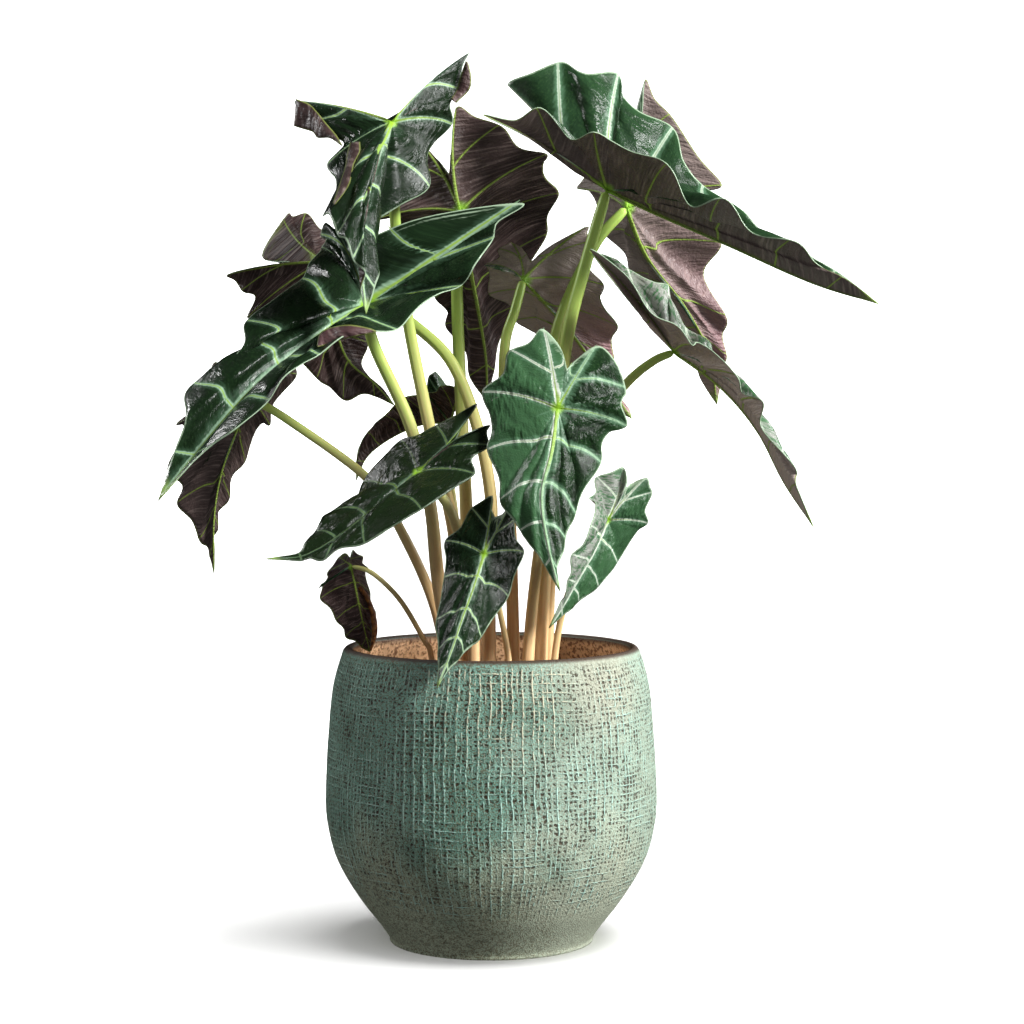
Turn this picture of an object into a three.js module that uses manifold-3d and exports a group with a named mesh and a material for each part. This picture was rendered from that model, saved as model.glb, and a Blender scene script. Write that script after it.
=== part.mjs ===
// Potted alocasia polly: a round stoneware pot filled with potting soil, and fifteen
// arrow-shaped leaves on separate stalks that stand in the soil.
// Millimetres, +Z up. The origin is the middle of the pot's flat foot, on the surface
// it stands on. The front of the pot is its -Y side, so +X is to the viewer's right.

import * as THREE from 'three';
import { mergeVertices } from 'three/addons/utils/BufferGeometryUtils.js';
import Module from 'manifold-3d';

const wasm = await Module();
wasm.setup();
const { Manifold, Mesh } = wasm;

// Pot, mm.
const RIM_HEIGHT = 214;
const FOOT_RADIUS = 74;
const POT_SIDES = 40;

// outer face of the pot from the foot to the rim: [radius, height]
const POT_OUTSIDE = [
  [FOOT_RADIUS, 0],
  [75, 4],
  [82, 14],
  [93.7, 29],
  [105, 46],
  [113, 62],
  [117.8, 79],
  [120.3, 98],
  [119.6, 128],
  [117.1, 163],
  [114.9, 184],
  [111.2, 200],
  [107.5, 211],
];

// rounded lip, then the inner face down to the edge of the pot's floor
const POT_LIP = [
  [105.6, 213.4],
  [103.4, RIM_HEIGHT],
  [101.4, 213.1],
  [100.4, 210.6],
];
const POT_INSIDE = [
  [103.6, 200],
  [107.4, 184],
  [109.6, 163],
  [112.1, 128],
  [112.8, 98],
  [110.3, 80],
  [105.6, 64],
  [97.6, 49],
  [86.4, 34],
  [72, 20],
  [56, 13],
];
const FLOOR = 12;

// Soil: how high it stands, its gap to the wall, and the rings of its uneven top,
// [radius, height above the level].
const SOIL_LEVEL = 184;
const SOIL_GAP = 0.4;
const SOIL_TOP = [
  [104, -1.5],
  [88, 1],
  [66, -0.8],
  [44, 0.8],
  [20, 2],
  [0, 2.5],
];

// Stalks: sides of the rod, rings for each stretch between two points, how far it
// stands in the soil, and the gap to its hole.
const STALK_SIDES = 8;
const STALK_STEPS = 2;
const STALK_DEPTH = 26;
const HOLE_GAP = 0.35;

// Blades: thickness, and the gap left between a stalk and the underside it carries.
// The gap is rounded with balls of a few sides, and facets under the finest are merged.
const BLADE_THICK = 1;
const JOINT_GAP = 0.4;
const BALL_DETAIL = 1;
const FINEST_FACET = 0.05;

// rings of a blade, as shares of the way from the stalk to the edge
const RINGS = [0.2, 0.4, 0.6, 0.8, 1];

// The leaves are laid out as they are seen from the front. A seen place is
// [right, down, depth]: right and down in picture units of a 1024-unit picture, depth
// in mm behind the pot's axis. The eye stands at EYE and looks slightly down at AIM.
const EYE = new THREE.Vector3(15, -1850, 405);
const AIM = new THREE.Vector3(15, 0, 311);
const PICTURE_MIDDLE = 512;
const PICTURE_DISTANCE = 2560;

// One half of a blade laid flat: [across, along, ripple]. The midrib is 1 long, from
// the stalk at 0 to the tip at 1. Ripple 1 marks the hollow between two side veins.
const NOTCH = [0, -0.165];
const EDGE = [
  [0.075, -0.340, 0],
  [0.135, -0.470, 0],
  [0.205, -0.425, 1],
  [0.280, -0.360, 0],
  [0.300, -0.235, 1],
  [0.410, -0.110, 0],
  [0.370, 0.050, 1],
  [0.400, 0.205, 0],
  [0.335, 0.340, 1],
  [0.325, 0.470, 0],
  [0.235, 0.590, 1],
  [0.200, 0.695, 0],
  [0.112, 0.790, 1],
  [0.065, 0.880, 0],
];

// Each leaf: rib is the midrib from the stalk to the tip. left and right are the inner
// edge of the basal lobe, the lobe's tip and then the six vein ends along the edge,
// told from the stalk looking over the upper side to the tip. hollows are the places
// of the hollows between those ends, null or left out where they follow from the ends.
// lean is how far a half goes back for each mm across, at the lobes, at the stalk and
// at the tip. bulge rounds the halves, wave lifts the hollows of the edge. foot is where
// the stalk goes into the soil, [x, y] in mm, radius the stalk's radii at the foot and
// at the blade, and stalk the places it passes from the foot up to the blade.
const LEAVES = [
  {
    name: 'top_left', notch: [388, 119],
    rib: [[392, 122, -20], [376, 158, -58], [361, 212, -95], [359, 250, -110], [366, 314, -122]],
    left: [[432, 93], [468, 54], [458, 92], [452, 124], [429, 187], [367, 229], [374, 266], [374, 290]],
    right: [[338, 119], [296, 101], [302, 128], [327, 165], [323, 216], [338, 236], [354, 262], [361, 292]],
    hollowsLeft: [null, null, [427, 153], [399, 206], [361, 247]],
    hollowsRight: [[304, 117], [344, 143], [337, 190]],
    leanLeft: [0.5, 0.6, 0.6], leanRight: [0.5, -0.4, -0.4], bulge: [0.04, 0.04], wave: 0.03,
    foot: [-13, 0], radius: [5, 3.6],
    stalk: [[455, 540, 0], [430, 430, 2], [408, 321, 0], [396, 232, -4]],
  },
  {
    name: 'wide_left', notch: [357, 243],
    rib: [[366, 304, -45], [315, 339, -85], [257, 385, -120], [213, 433, -142], [158, 501, -165]],
    left: [[425, 217], [522, 203], [493, 240], [461, 286], [396, 330], [316, 357], [265, 405], [204, 452]],
    right: [[345, 232], [330, 228], [321, 236], [322, 247], [302, 279], [245, 323], [189, 388], [173, 455]],
    hollowsLeft: [[497, 224], [476, 265], [426, 303], [352, 334], [286, 377], [236, 430]],
    hollowsRight: [null, null, [313, 260], [271, 303], [242, 350], [186, 418]],
    leanLeft: [0.1, -0.15, -0.5], leanRight: [0.8, 0.7, 0.4], bulge: [0, 0.08], wave: 0.03,
    foot: [-18, -20], radius: [5.2, 3.8],
    stalk: [[440, 592, -19], [430, 505, -20], [410, 425, -24], [374, 345, -34]],
  },
  {
    name: 'low_left', notch: [252, 378],
    rib: [[250, 398, 0], [235, 435, 10], [221, 475, 20], [214, 520, 28], [214, 574, 36]],
    left: [[228, 372], [215, 362], [195, 392], [176, 424], [167, 469], [177, 505], [200, 542], [210, 558]],
    right: [[275, 365], [297, 350], [296, 377], [270, 425], [245, 462], [229, 500], [218, 530], [214.5, 552]],
    hollowsLeft: [null, null, null, [182, 486]],
    hollowsRight: [null, [274, 404]],
    leanLeft: [0.3, 0.2, 0.2], leanRight: [0.5, 0.7, 0.6], bulge: [0.05, 0.05], wave: 0.02,
    foot: [-26, -4], radius: [4, 2.8],
    stalk: [[435, 608, -3], [397, 523, 0], [366, 477, 2], [288, 420, 2]],
  },
  {
    name: 'back_left', notch: [290, 262],
    rib: [[324, 262, 45], [330, 305, 70], [346, 357, 95], [373, 382, 108], [395, 406, 116]],
    left: [[252, 268], [227, 275], [243, 292], [247, 318], [275, 350], [318, 380], [346, 401], [376, 397]],
    right: [[262, 256], [286, 216], [308, 214], [345, 235], [372, 290], [368, 345], [371, 379], [384, 390]],
    leanLeft: [0.1, 0.1, 0.1], leanRight: [0.7, 0.8, 0.6], bulge: [0.05, 0.05], wave: 0.02,
    foot: [-2, 12], radius: [5, 3.6],
    stalk: [[489, 560, 14], [491, 500, 14], [477, 426, 14], [450, 360, 18], [407, 319, 30], [365, 287, 41]],
  },
  {
    name: 'back_top', notch: [449, 174],
    rib: [[460, 212, 50], [470, 268, 90], [479, 315, 122], [486, 360, 148], [487, 402, 166]],
    left: [[436, 158], [415, 138], [395, 165], [379, 218], [405, 265], [436, 300], [446, 328], [470, 378]],
    right: [[452, 140], [457, 107], [503, 127], [547, 154], [559, 193], [546, 237], [515, 310], [494, 372]],
    hollowsRight: [null, [519, 147], [544, 174], [548, 216]],
    leanLeft: [0.2, 0.3, 0.3], leanRight: [0.1, 0.1, 0.2], bulge: [0.05, 0.05], wave: 0.02,
    foot: [-9, 26], radius: [5.3, 4],
    stalk: [[471, 600, 26], [467, 530, 27], [465, 480, 29], [461, 400, 37], [457, 290, 46]],
  },
  {
    name: 'back_centre', notch: [531, 262],
    rib: [[523, 280, 30], [545, 303, 48], [571, 333, 68], [598, 370, 86], [632, 419, 100]],
    left: [[522, 248], [511, 243], [498, 250], [486, 264], [489, 294], [516, 322], [545, 352], [598, 400]],
    right: [[550, 246], [586, 227], [594, 243], [604, 285], [618, 326], [615, 362], [622, 392], [629, 409]],
    hollowsRight: [null, null, [603, 306]],
    leanLeft: [0.7, 0.6, 0.3], leanRight: [0.3, 0.3, 0.5], bulge: [0.05, 0.05], wave: 0.02,
    foot: [17, 10], radius: [4.4, 3.2],
    stalk: [[510, 500, 16], [504, 410, 20], [505, 345, 23], [515, 310, 26]],
  },
  {
    name: 'front_centre', notch: [567, 369],
    rib: [[557.8, 408.4, -75], [552, 452, -88], [542, 495, -100], [548, 544, -108], [560, 592, -113]],
    left: [[576, 360], [598, 346], [626, 391], [627, 426], [601, 463], [575, 516], [565, 541], [557, 570]],
    right: [[560, 347], [542, 329], [508, 352], [482, 392], [487, 450], [500, 502], [522, 534], [546, 568]],
    hollowsLeft: [[616, 363], [621, 404], [603, 440], [584, 489]],
    hollowsRight: [[529, 343], [503, 374], [492, 428], [499, 479], [511, 517], [535, 551]],
    leanLeft: [0.3, 0.3, 0.7], leanRight: [0.3, 0.2, 0.3], bulge: [0.05, 0.05], wave: 0.02,
    foot: [24, -20], radius: [4.4, 3],
    stalk: [[531, 620, -22], [540, 540, -30], [549, 470, -46]],
  },
  {
    name: 'front_left', notch: [456, 440],
    rib: [[418, 472, -70], [385, 498, -86], [345, 531, -102], [303, 556, -114], [266, 559, -120]],
    left: [[466, 434], [489, 425], [488, 447], [475, 474], [421, 510], [362, 545], [322, 561], [298, 561]],
    right: [[463, 424], [477, 404], [433, 427], [401, 440], [363, 482], [327, 514], [314, 533], [296, 554]],
    hollowsLeft: [null, null, [448, 493], [392, 528]],
    hollowsRight: [null, null, [381, 460], [354, 506]],
    leanLeft: [0.2, -0.5, -0.6], leanRight: [0.3, 0.7, 0.6], bulge: [0.05, 0.05], wave: 0.02,
    foot: [-12, -36], radius: [4.2, 3],
    stalk: [[472, 590, -40], [455, 522, -50], [441, 496, -58]],
  },
  {
    name: 'front_low', notch: [495, 517],
    rib: [[484, 554, -88], [474, 587, -100], [463, 617, -110], [452, 650, -119], [437, 688, -127]],
    left: [[502, 514], [508, 508], [514, 522], [524, 552], [508, 597], [480, 639], [462, 655], [447, 672]],
    right: [[492, 510], [492, 496], [470, 510], [445, 541], [444, 578], [436, 622], [438, 652], [438, 672]],
    hollowsLeft: [null, null, [513, 578]],
    hollowsRight: [null, null, [446, 566]],
    leanLeft: [0.4, 0.4, 0.2], leanRight: [0.4, 0.4, 0.3], bulge: [0.05, 0.05], wave: 0.015,
    foot: [16, -34], radius: [2.2, 1.8],
    stalk: [[508, 655, -36], [499, 608, -46], [493, 578, -62]],
  },
  {
    name: 'low_right', notch: [626, 488],
    rib: [[607.5, 520, -40], [593, 553, -50], [576, 583, -57], [562, 608, -61], [549, 628, -63]],
    left: [[634, 482], [647, 478], [652, 494], [648, 523], [617, 563], [597, 588], [577, 603], [561, 617]],
    right: [[627, 478], [623, 467], [595, 478], [589, 498], [590, 526], [571, 556], [567, 582], [560, 603]],
    leanLeft: [0.2, 0.6, 0.6], leanRight: [0.2, -0.6, -0.6], bulge: [0.05, 0.05], wave: 0.015,
    foot: [45, -14], radius: [2.6, 2],
    stalk: [[555, 655, -14], [566, 600, -18], [585, 560, -24]],
  },
  {
    name: 'small_rim', notch: [350, 558],
    rib: [[351, 566, -25], [355, 585, -23], [359, 605, -20], [364, 628, -16], [370, 652, -12]],
    left: [[345, 553], [338, 558], [327, 573], [319, 588], [320, 599], [336, 621], [346, 638], [362, 648]],
    right: [[352, 553], [353, 550], [363, 557], [368, 568], [370, 592], [376, 614], [374, 636], [372, 646]],
    leanLeft: [0.2, 0.1, 0.1], leanRight: [0.6, 0.7, 0.5], bulge: [0.05, 0.05], wave: 0.01,
    foot: [-38, -14], radius: [2, 1.6],
    stalk: [[431, 655, -15], [424, 640, -16], [400, 600, -22], [372, 573, -28]],
  },
  {
    name: 'back_low', notch: [452, 408],
    rib: [[450, 424, 70], [425, 424, 75], [395, 436, 80], [368, 456, 84], [356, 481, 86]],
    left: [[458, 402], [458, 390], [440, 386], [425, 393], [405, 397], [384, 416], [366, 434], [356, 462]],
    right: [[450, 392], [437, 373], [428, 378], [418, 392], [402, 400], [382, 420], [365, 438], [356, 464]],
    leanLeft: [-0.5, -0.5, -0.5], leanRight: [0.5, 0.5, 0.5], bulge: [0, 0], wave: 0.03,
    foot: [-28, 16], radius: [3.4, 2.5],
    stalk: [[455, 600, 25], [456, 530, 36], [450, 475, 54]],
  },
  {
    name: 'top_right', notch: [575, 172],
    rib: [[607, 190, 0], [652, 212, -8], [725, 244, -20], [812, 283, -34], [879, 304, -42]],
    left: [[540, 105], [508, 85], [562, 62], [618, 74], [673, 128], [706, 188], [770, 238], [838, 272]],
    right: [[528, 138], [484, 115], [541, 108], [594, 132], [667, 164], [725, 199], [796, 242], [845, 278]],
    hollowsLeft: [[533, 73], [585, 74], [633, 108], [684, 163]],
    hollowsRight: [[515, 121], [570, 140], [628, 151], [690, 207], [752, 234], [816, 264]],
    leanLeft: [0.4, 0.5, 0.5], leanRight: [-0.7, -0.7, -0.6], bulge: [0.03, 0.03], wave: 0.03,
    foot: [36, -4], radius: [5.5, 4],
    stalk: [[541, 640, -4], [552, 470, -6], [566, 345, -6], [584, 270, -5]],
  },
  {
    name: 'back_right', notch: [615, 180],
    rib: [[626, 208, 50], [646, 256, 68], [684, 306, 90], [709, 354, 108], [717, 405, 122]],
    left: [[600, 150], [590, 122], [572, 150], [577, 188], [603, 232], [632, 275], [668, 325], [700, 378]],
    right: [[640, 125], [645, 80], [673, 118], [722, 185], [722, 243], [727, 318], [727, 358], [720, 388]],
    hollowsRight: [null, [699, 157], null, [704, 275]],
    leanLeft: [0.5, 0.7, 0.5], leanRight: [0.2, 0.2, 0.4], bulge: [0.05, 0.05], wave: 0.02,
    foot: [33, 20], radius: [5, 3.6],
    stalk: [[541, 600, 20], [545, 440, 22], [556, 334, 28], [593, 248, 42]],
  },
  {
    name: 'edge_right', notch: [650, 328],
    rib: [[673.7, 352, 5], [721, 388, -18], [757, 431, -38], [784, 483, -58], [814, 528, -72]],
    left: [[628, 290], [600, 256], [630, 270], [668, 285], [686, 328], [716, 361], [760, 415], [797, 490]],
    right: [[635, 309], [590, 250], [651, 313], [692, 345], [736, 375], [763, 402], [785, 456], [797, 487]],
    hollowsRight: [null, null, null, [742, 394], [760, 427]],
    leanLeft: [0.6, 0.7, 0.7], leanRight: [-0.6, -0.8, -0.7], bulge: [0.03, 0.03], wave: 0.03,
    foot: [43, 8], radius: [4.4, 2.8],
    stalk: [[548, 640, 8], [556, 520, 8], [580, 440, 8], [624, 386, 6], [652, 362, 4]],
  },
];

const LEAN_STATIONS = [-0.45, 0.1, 0.9];

const PAINT = {
  pot: { color: 0x7fa294, roughness: 0.55 },
  soil: { color: 0x3a2c22, roughness: 0.95 },
  leaf: { color: 0x1f4d33, roughness: 0.3 },
  stalk: { color: 0x8fae55, roughness: 0.45 },
};

function node(name, body, paint) {
  const mesh = body.getMesh();
  const geometry = new THREE.BufferGeometry();
  geometry.setAttribute('position', new THREE.BufferAttribute(mesh.vertProperties, 3));
  geometry.setIndex(new THREE.BufferAttribute(mesh.triVerts, 1));
  geometry.computeVertexNormals();
  const part = new THREE.Mesh(geometry, new THREE.MeshStandardMaterial(PAINT[paint]));
  part.name = name;
  return part;
}

function toBody(positions, triangles) {
  return new Manifold(new Mesh({
    numProp: 3,
    vertProperties: new Float32Array(positions),
    triVerts: new Uint32Array(triangles),
  }));
}

// a closed three.js shape as a body, its shared vertices merged
function shapeBody(geometry) {
  geometry.deleteAttribute('normal');
  geometry.deleteAttribute('uv');
  const merged = mergeVertices(geometry);
  return toBody(merged.getAttribute('position').array, merged.getIndex().array);
}

// a body turned about Z from a profile that starts and ends on the axis
function turned(profile, sides) {
  const positions = [];
  const triangles = [];
  const rings = profile.map(([radius, height]) => {
    const start = positions.length / 3;
    const count = radius === 0 ? 1 : sides;
    for (let i = 0; i < count; i += 1) {
      const angle = (2 * Math.PI * i) / sides;
      positions.push(radius * Math.cos(angle), radius * Math.sin(angle), height);
    }
    return (i) => start + (i % count);
  });
  for (let r = 0; r + 1 < rings.length; r += 1) {
    const lower = rings[r];
    const upper = rings[r + 1];
    for (let i = 0; i < sides; i += 1) {
      if (lower(i) !== lower(i + 1)) {
        triangles.push(lower(i), lower(i + 1), upper(i + 1));
      }
      if (upper(i) !== upper(i + 1)) {
        triangles.push(lower(i), upper(i + 1), upper(i));
      }
    }
  }
  return toBody(positions, triangles);
}

// the place in mm of a seen point
function seen([right, down, depth]) {
  const forward = AIM.clone().sub(EYE).normalize();
  const upward = new THREE.Vector3(0, -forward.z, forward.y);
  const ray = forward.clone().multiplyScalar(PICTURE_DISTANCE);
  ray.x += right - PICTURE_MIDDLE;
  ray.addScaledVector(upward, PICTURE_MIDDLE - down);
  ray.multiplyScalar((depth - EYE.y) / ray.y);
  return ray.add(EYE);
}

function smoothLine(points) {
  return new THREE.CatmullRomCurve3(points, false, 'catmullrom', 0.5);
}

// a value given at the lobes, at the stalk and at the tip, for a place along the blade
function leanAt(values, along) {
  const [lobe, stalk, tip] = LEAN_STATIONS;
  if (along < stalk) {
    return THREE.MathUtils.mapLinear(Math.max(along, lobe), lobe, stalk, values[0], values[1]);
  }
  return THREE.MathUtils.mapLinear(Math.min(along, tip), stalk, tip, values[1], values[2]);
}

// flat distance of an edge point from the place of the midrib it is measured from
function flatReach([across, along]) {
  return along < 0 ? Math.hypot(across, along) : across;
}

// The edge of one half as arms: each runs from its place on the midrib to the edge. A
// hollow without a seen place lies between its two vein ends.
function edgeArms(leaf, rib, places, hollowPlaces, lean, hand) {
  const length = rib.getLength();
  const arms = EDGE.map(([across, along]) => {
    const start = Math.max(along, 0);
    return { across: hand * across, along, start, foot: rib.getPointAt(start), arm: null };
  });
  const ends = EDGE.map((point, i) => i).filter((i) => EDGE[i][2] === 0);
  const hollows = EDGE.map((point, i) => i).filter((i) => EDGE[i][2] === 1);
  const depthAt = (i) => leanAt(lean, EDGE[i][1]) * flatReach(EDGE[i]) * length;
  ends.forEach((i, k) => {
    const place = seen([...places[k], arms[i].foot.y + depthAt(i)]);
    arms[i].arm = place.sub(arms[i].foot);
  });
  hollows.forEach((i, k) => {
    const before = arms[i - 1].arm;
    const after = arms[i + 1].arm;
    const share = flatReach(EDGE[i]) / (flatReach(EDGE[i - 1]) + flatReach(EDGE[i + 1]));
    const arm = before.clone().add(after).multiplyScalar(share);
    const upward = arm.clone().cross(rib.getTangentAt(arms[i].start)).normalize();
    const lift = hand * leaf.wave * length;
    arms[i].arm = arm.addScaledVector(upward, lift);
    if (hollowPlaces[k]) {
      const depth = depthAt(i) + Math.sign(upward.y) * lift;
      arms[i].arm = seen([...hollowPlaces[k], arms[i].foot.y + depth]).sub(arms[i].foot);
    }
  });
  return arms;
}

// The middle surface of a blade: the stalk's place, then rings of points that go round
// from the notch over the right half to the tip and back over the left half.
function bladeSurface(leaf) {
  const rib = smoothLine(leaf.rib.map(seen));
  const length = rib.getLength();
  const base = rib.getPointAt(0);
  const lean = (leaf.leanLeft[0] + leaf.leanRight[0]) / 2;
  const notch = seen([...leaf.notch, base.y - lean * NOTCH[1] * length]).sub(base);
  const { hollowsRight = [], hollowsLeft = [] } = leaf;
  const right = edgeArms(leaf, rib, leaf.right, hollowsRight, leaf.leanRight, 1);
  const left = edgeArms(leaf, rib, leaf.left, hollowsLeft, leaf.leanLeft, -1);
  const round = [
    { across: 0, along: NOTCH[1], start: 0, arm: notch },
    ...right,
    { across: 0, along: 1, start: 1, arm: new THREE.Vector3() },
    ...left.reverse(),
  ];
  const points = [base];
  for (const share of RINGS) {
    for (const { across, start, arm } of round) {
      const place = start * share;
      const point = rib.getPointAt(place).addScaledVector(arm, share);
      const bulge = leaf.bulge[across > 0 ? 1 : 0] * 4 * share * (1 - share) * arm.length();
      if (across !== 0) {
        const upward = arm.clone().cross(rib.getTangentAt(place)).normalize();
        point.addScaledVector(upward, Math.sign(across) * bulge);
      }
      points.push(point);
    }
  }
  const count = round.length;
  const triangles = [];
  for (let i = 0; i < count; i += 1) {
    const j = (i + 1) % count;
    triangles.push([0, 1 + i, 1 + j]);
    for (let r = 0; r + 1 < RINGS.length; r += 1) {
      const inner = 1 + r * count;
      const outer = inner + count;
      triangles.push([inner + i, outer + i, outer + j]);
      triangles.push([inner + i, outer + j, inner + j]);
    }
  }
  return { points, triangles, count };
}

// a surface thickened alike to both sides, with a strip of facets round its edge
function thicken({ points, triangles, count }, thickness) {
  const normals = points.map(() => new THREE.Vector3());
  for (const triangle of triangles) {
    const [a, b, c] = triangle.map((i) => points[i]);
    const normal = b.clone().sub(a).cross(c.clone().sub(a));
    triangle.forEach((i) => normals[i].add(normal));
  }
  const positions = [];
  for (const side of [0.5, -0.5]) {
    points.forEach((point, i) => {
      const normal = normals[i].clone().normalize();
      positions.push(...point.clone().addScaledVector(normal, side * thickness).toArray());
    });
  }
  const under = points.length;
  const faces = [];
  for (const [a, b, c] of triangles) {
    faces.push(a, b, c, under + a, under + c, under + b);
  }
  const edge = points.length - count;
  for (let i = 0; i < count; i += 1) {
    const a = edge + i;
    const b = edge + ((i + 1) % count);
    faces.push(a, under + a, under + b, a, under + b, b);
  }
  return toBody(positions, faces);
}

// a round tapering rod along a line
function rod(line, stretches, [low, high]) {
  const rings = stretches * STALK_STEPS;
  const positions = [];
  const triangles = [];
  for (let r = 0; r <= rings; r += 1) {
    const t = r / rings;
    const centre = line.getPoint(t);
    const tangent = line.getTangent(t);
    const first = new THREE.Vector3(0, 1, 0);
    first.addScaledVector(tangent, -first.dot(tangent)).normalize();
    const second = tangent.clone().cross(first);
    const radius = THREE.MathUtils.lerp(low, high, t);
    for (let i = 0; i < STALK_SIDES; i += 1) {
      const angle = (2 * Math.PI * i) / STALK_SIDES;
      const point = centre.clone().addScaledVector(first, radius * Math.cos(angle));
      point.addScaledVector(second, radius * Math.sin(angle));
      positions.push(...point.toArray());
    }
  }
  positions.push(...line.getPoint(0).toArray(), ...line.getPoint(1).toArray());
  const last = rings * STALK_SIDES;
  const bottom = last + STALK_SIDES;
  for (let i = 0; i < STALK_SIDES; i += 1) {
    const j = (i + 1) % STALK_SIDES;
    for (let r = 0; r < rings; r += 1) {
      const a = r * STALK_SIDES;
      const b = a + STALK_SIDES;
      triangles.push(a + i, a + j, b + j, a + i, b + j, b + i);
    }
    triangles.push(bottom, j, i, bottom + 1, last + i, last + j);
  }
  return toBody(positions, triangles);
}

// a leaf's stalk from a depth in the soil up to its blade, made thicker by a gap
function stalkRod(leaf, depth, gap) {
  const points = [
    new THREE.Vector3(leaf.foot[0], leaf.foot[1], SOIL_LEVEL - depth),
    ...leaf.stalk.map(seen),
    seen(leaf.rib[0]),
  ];
  const radii = leaf.radius.map((radius) => radius + gap);
  return rod(smoothLine(points), points.length - 1, radii);
}

// the room a stalk leaves free: a rounded layer about the inner facets of its blade
function jointRoom({ points, triangles, count }) {
  const inner = triangles.filter((corners) => corners.every((i) => i <= 2 * count));
  const reach = BLADE_THICK / 2 + JOINT_GAP;
  const ball = shapeBody(new THREE.OctahedronGeometry(reach, BALL_DETAIL));
  const layers = inner.map((corners) => (
    Manifold.hull(corners.map((i) => ball.translate(points[i].toArray())))
  ));
  return Manifold.union(layers);
}

// the stalk ends just below the underside of its blade
function stalkBody(leaf, surface) {
  const pieces = stalkRod(leaf, STALK_DEPTH, 0).subtract(jointRoom(surface)).decompose();
  pieces.sort((a, b) => b.volume() - a.volume());
  return pieces[0].simplify(FINEST_FACET);
}

function potBody() {
  return turned([[0, 0], ...POT_OUTSIDE, ...POT_LIP, ...POT_INSIDE, [0, FLOOR]], POT_SIDES);
}

// soil up to its level, with a plain round hole for each stalk
function soilBody() {
  const wall = POT_INSIDE.filter(([, height]) => height < SOIL_LEVEL).reverse();
  const sides = wall.map(([radius, height]) => [radius - SOIL_GAP, height + SOIL_GAP]);
  const top = SOIL_TOP.map(([radius, height]) => [radius, SOIL_LEVEL + height]);
  let body = turned([[0, FLOOR + SOIL_GAP], ...sides, ...top], POT_SIDES);
  for (const leaf of LEAVES) {
    body = body.subtract(stalkRod(leaf, STALK_DEPTH + HOLE_GAP, HOLE_GAP));
  }
  return body;
}

const container = new THREE.Group();
container.name = 'container';
container.add(node('pot', potBody(), 'pot'));
container.add(node('soil', soilBody(), 'soil'));

const plant = new THREE.Group();
plant.name = 'plant';
for (const leaf of LEAVES) {
  const surface = bladeSurface(leaf);
  plant.add(node(`stalk_${leaf.name}`, stalkBody(leaf, surface), 'stalk'));
  plant.add(node(`leaf_${leaf.name}`, thicken(surface, BLADE_THICK), 'leaf'));
}

const object = new THREE.Group();
object.name = 'potted_alocasia_polly';
object.add(container);
object.add(plant);

export default object;
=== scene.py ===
# %% [markdown]
# # A potted alocasia
# The plant is fifteen arrow-shaped leaves on long stalks, standing in a round stoneware pot.
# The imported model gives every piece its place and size. This script keeps that frame and gives
# each piece the finer shape and the finish that the real one has.

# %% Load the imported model
import math
import random

import bmesh
import bpy
import numpy as np
from mathutils import Matrix, Vector


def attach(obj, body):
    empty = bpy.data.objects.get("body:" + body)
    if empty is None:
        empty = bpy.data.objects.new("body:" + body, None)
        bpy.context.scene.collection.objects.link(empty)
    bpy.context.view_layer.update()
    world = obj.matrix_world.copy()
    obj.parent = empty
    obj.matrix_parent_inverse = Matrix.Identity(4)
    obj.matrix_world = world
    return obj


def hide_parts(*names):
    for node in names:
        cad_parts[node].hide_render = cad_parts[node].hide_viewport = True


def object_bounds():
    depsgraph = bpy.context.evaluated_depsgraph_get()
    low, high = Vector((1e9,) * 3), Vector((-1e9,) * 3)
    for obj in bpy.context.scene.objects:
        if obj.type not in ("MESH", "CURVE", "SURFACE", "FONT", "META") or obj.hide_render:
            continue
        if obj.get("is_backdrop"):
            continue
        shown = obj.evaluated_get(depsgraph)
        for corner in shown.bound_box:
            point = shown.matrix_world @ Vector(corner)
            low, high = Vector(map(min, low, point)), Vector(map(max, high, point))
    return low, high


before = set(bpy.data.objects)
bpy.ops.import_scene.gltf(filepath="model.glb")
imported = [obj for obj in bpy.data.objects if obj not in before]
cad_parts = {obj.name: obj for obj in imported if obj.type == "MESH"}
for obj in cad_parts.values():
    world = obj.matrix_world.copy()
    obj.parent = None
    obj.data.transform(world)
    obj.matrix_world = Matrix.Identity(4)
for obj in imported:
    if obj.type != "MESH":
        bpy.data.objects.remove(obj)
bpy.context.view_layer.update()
MM = 0.001

# %% [markdown]
# ## Camera
# The plant is seen from the front, a little from above, through a long lens that hardly makes
# near leaves larger. The same eye and aim also say where each leaf stands, so they come first.

# %% Camera
EYE = np.array((0.015, -1.850, 0.405))
AIM = np.array((0.015, 0.0, 0.311))
PICTURE_MIDDLE = 512
PICTURE_DISTANCE = 2560
SENSOR_WIDTH = 36.0

camera_data = bpy.data.cameras.new("portrait_camera")
camera_data.sensor_width = SENSOR_WIDTH
camera_data.lens = SENSOR_WIDTH * PICTURE_DISTANCE / (2 * PICTURE_MIDDLE)
camera = bpy.data.objects.new("portrait_camera", camera_data)
camera.location = Vector(EYE)
camera.rotation_euler = Vector(AIM - EYE).to_track_quat("-Z", "Y").to_euler()
bpy.context.scene.collection.objects.link(camera)
bpy.context.scene.camera = camera
print("lens", camera_data.lens, "mm")

# %% [markdown]
# ## Floor and light
# White studio paper covers the floor and sweeps up into a wall all round that is lit from
# behind, so no horizon shows from any side. A large soft key light at the upper right shapes the
# leaves, and a weaker one in the same place gives them their glints. The surround and the paper
# aren't mirrored in the waxy leaves, as if black flags stood round them, which keeps them dark.
# Strips and a card light the rims. Two lamps light the paper alone, one from high above for the
# short soft shadow, so that the paper stays white. Standard colours keep each painted hex value
# what it says.

# %% Materials and nodes
bpy.context.scene.view_settings.view_transform = "Standard"


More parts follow.
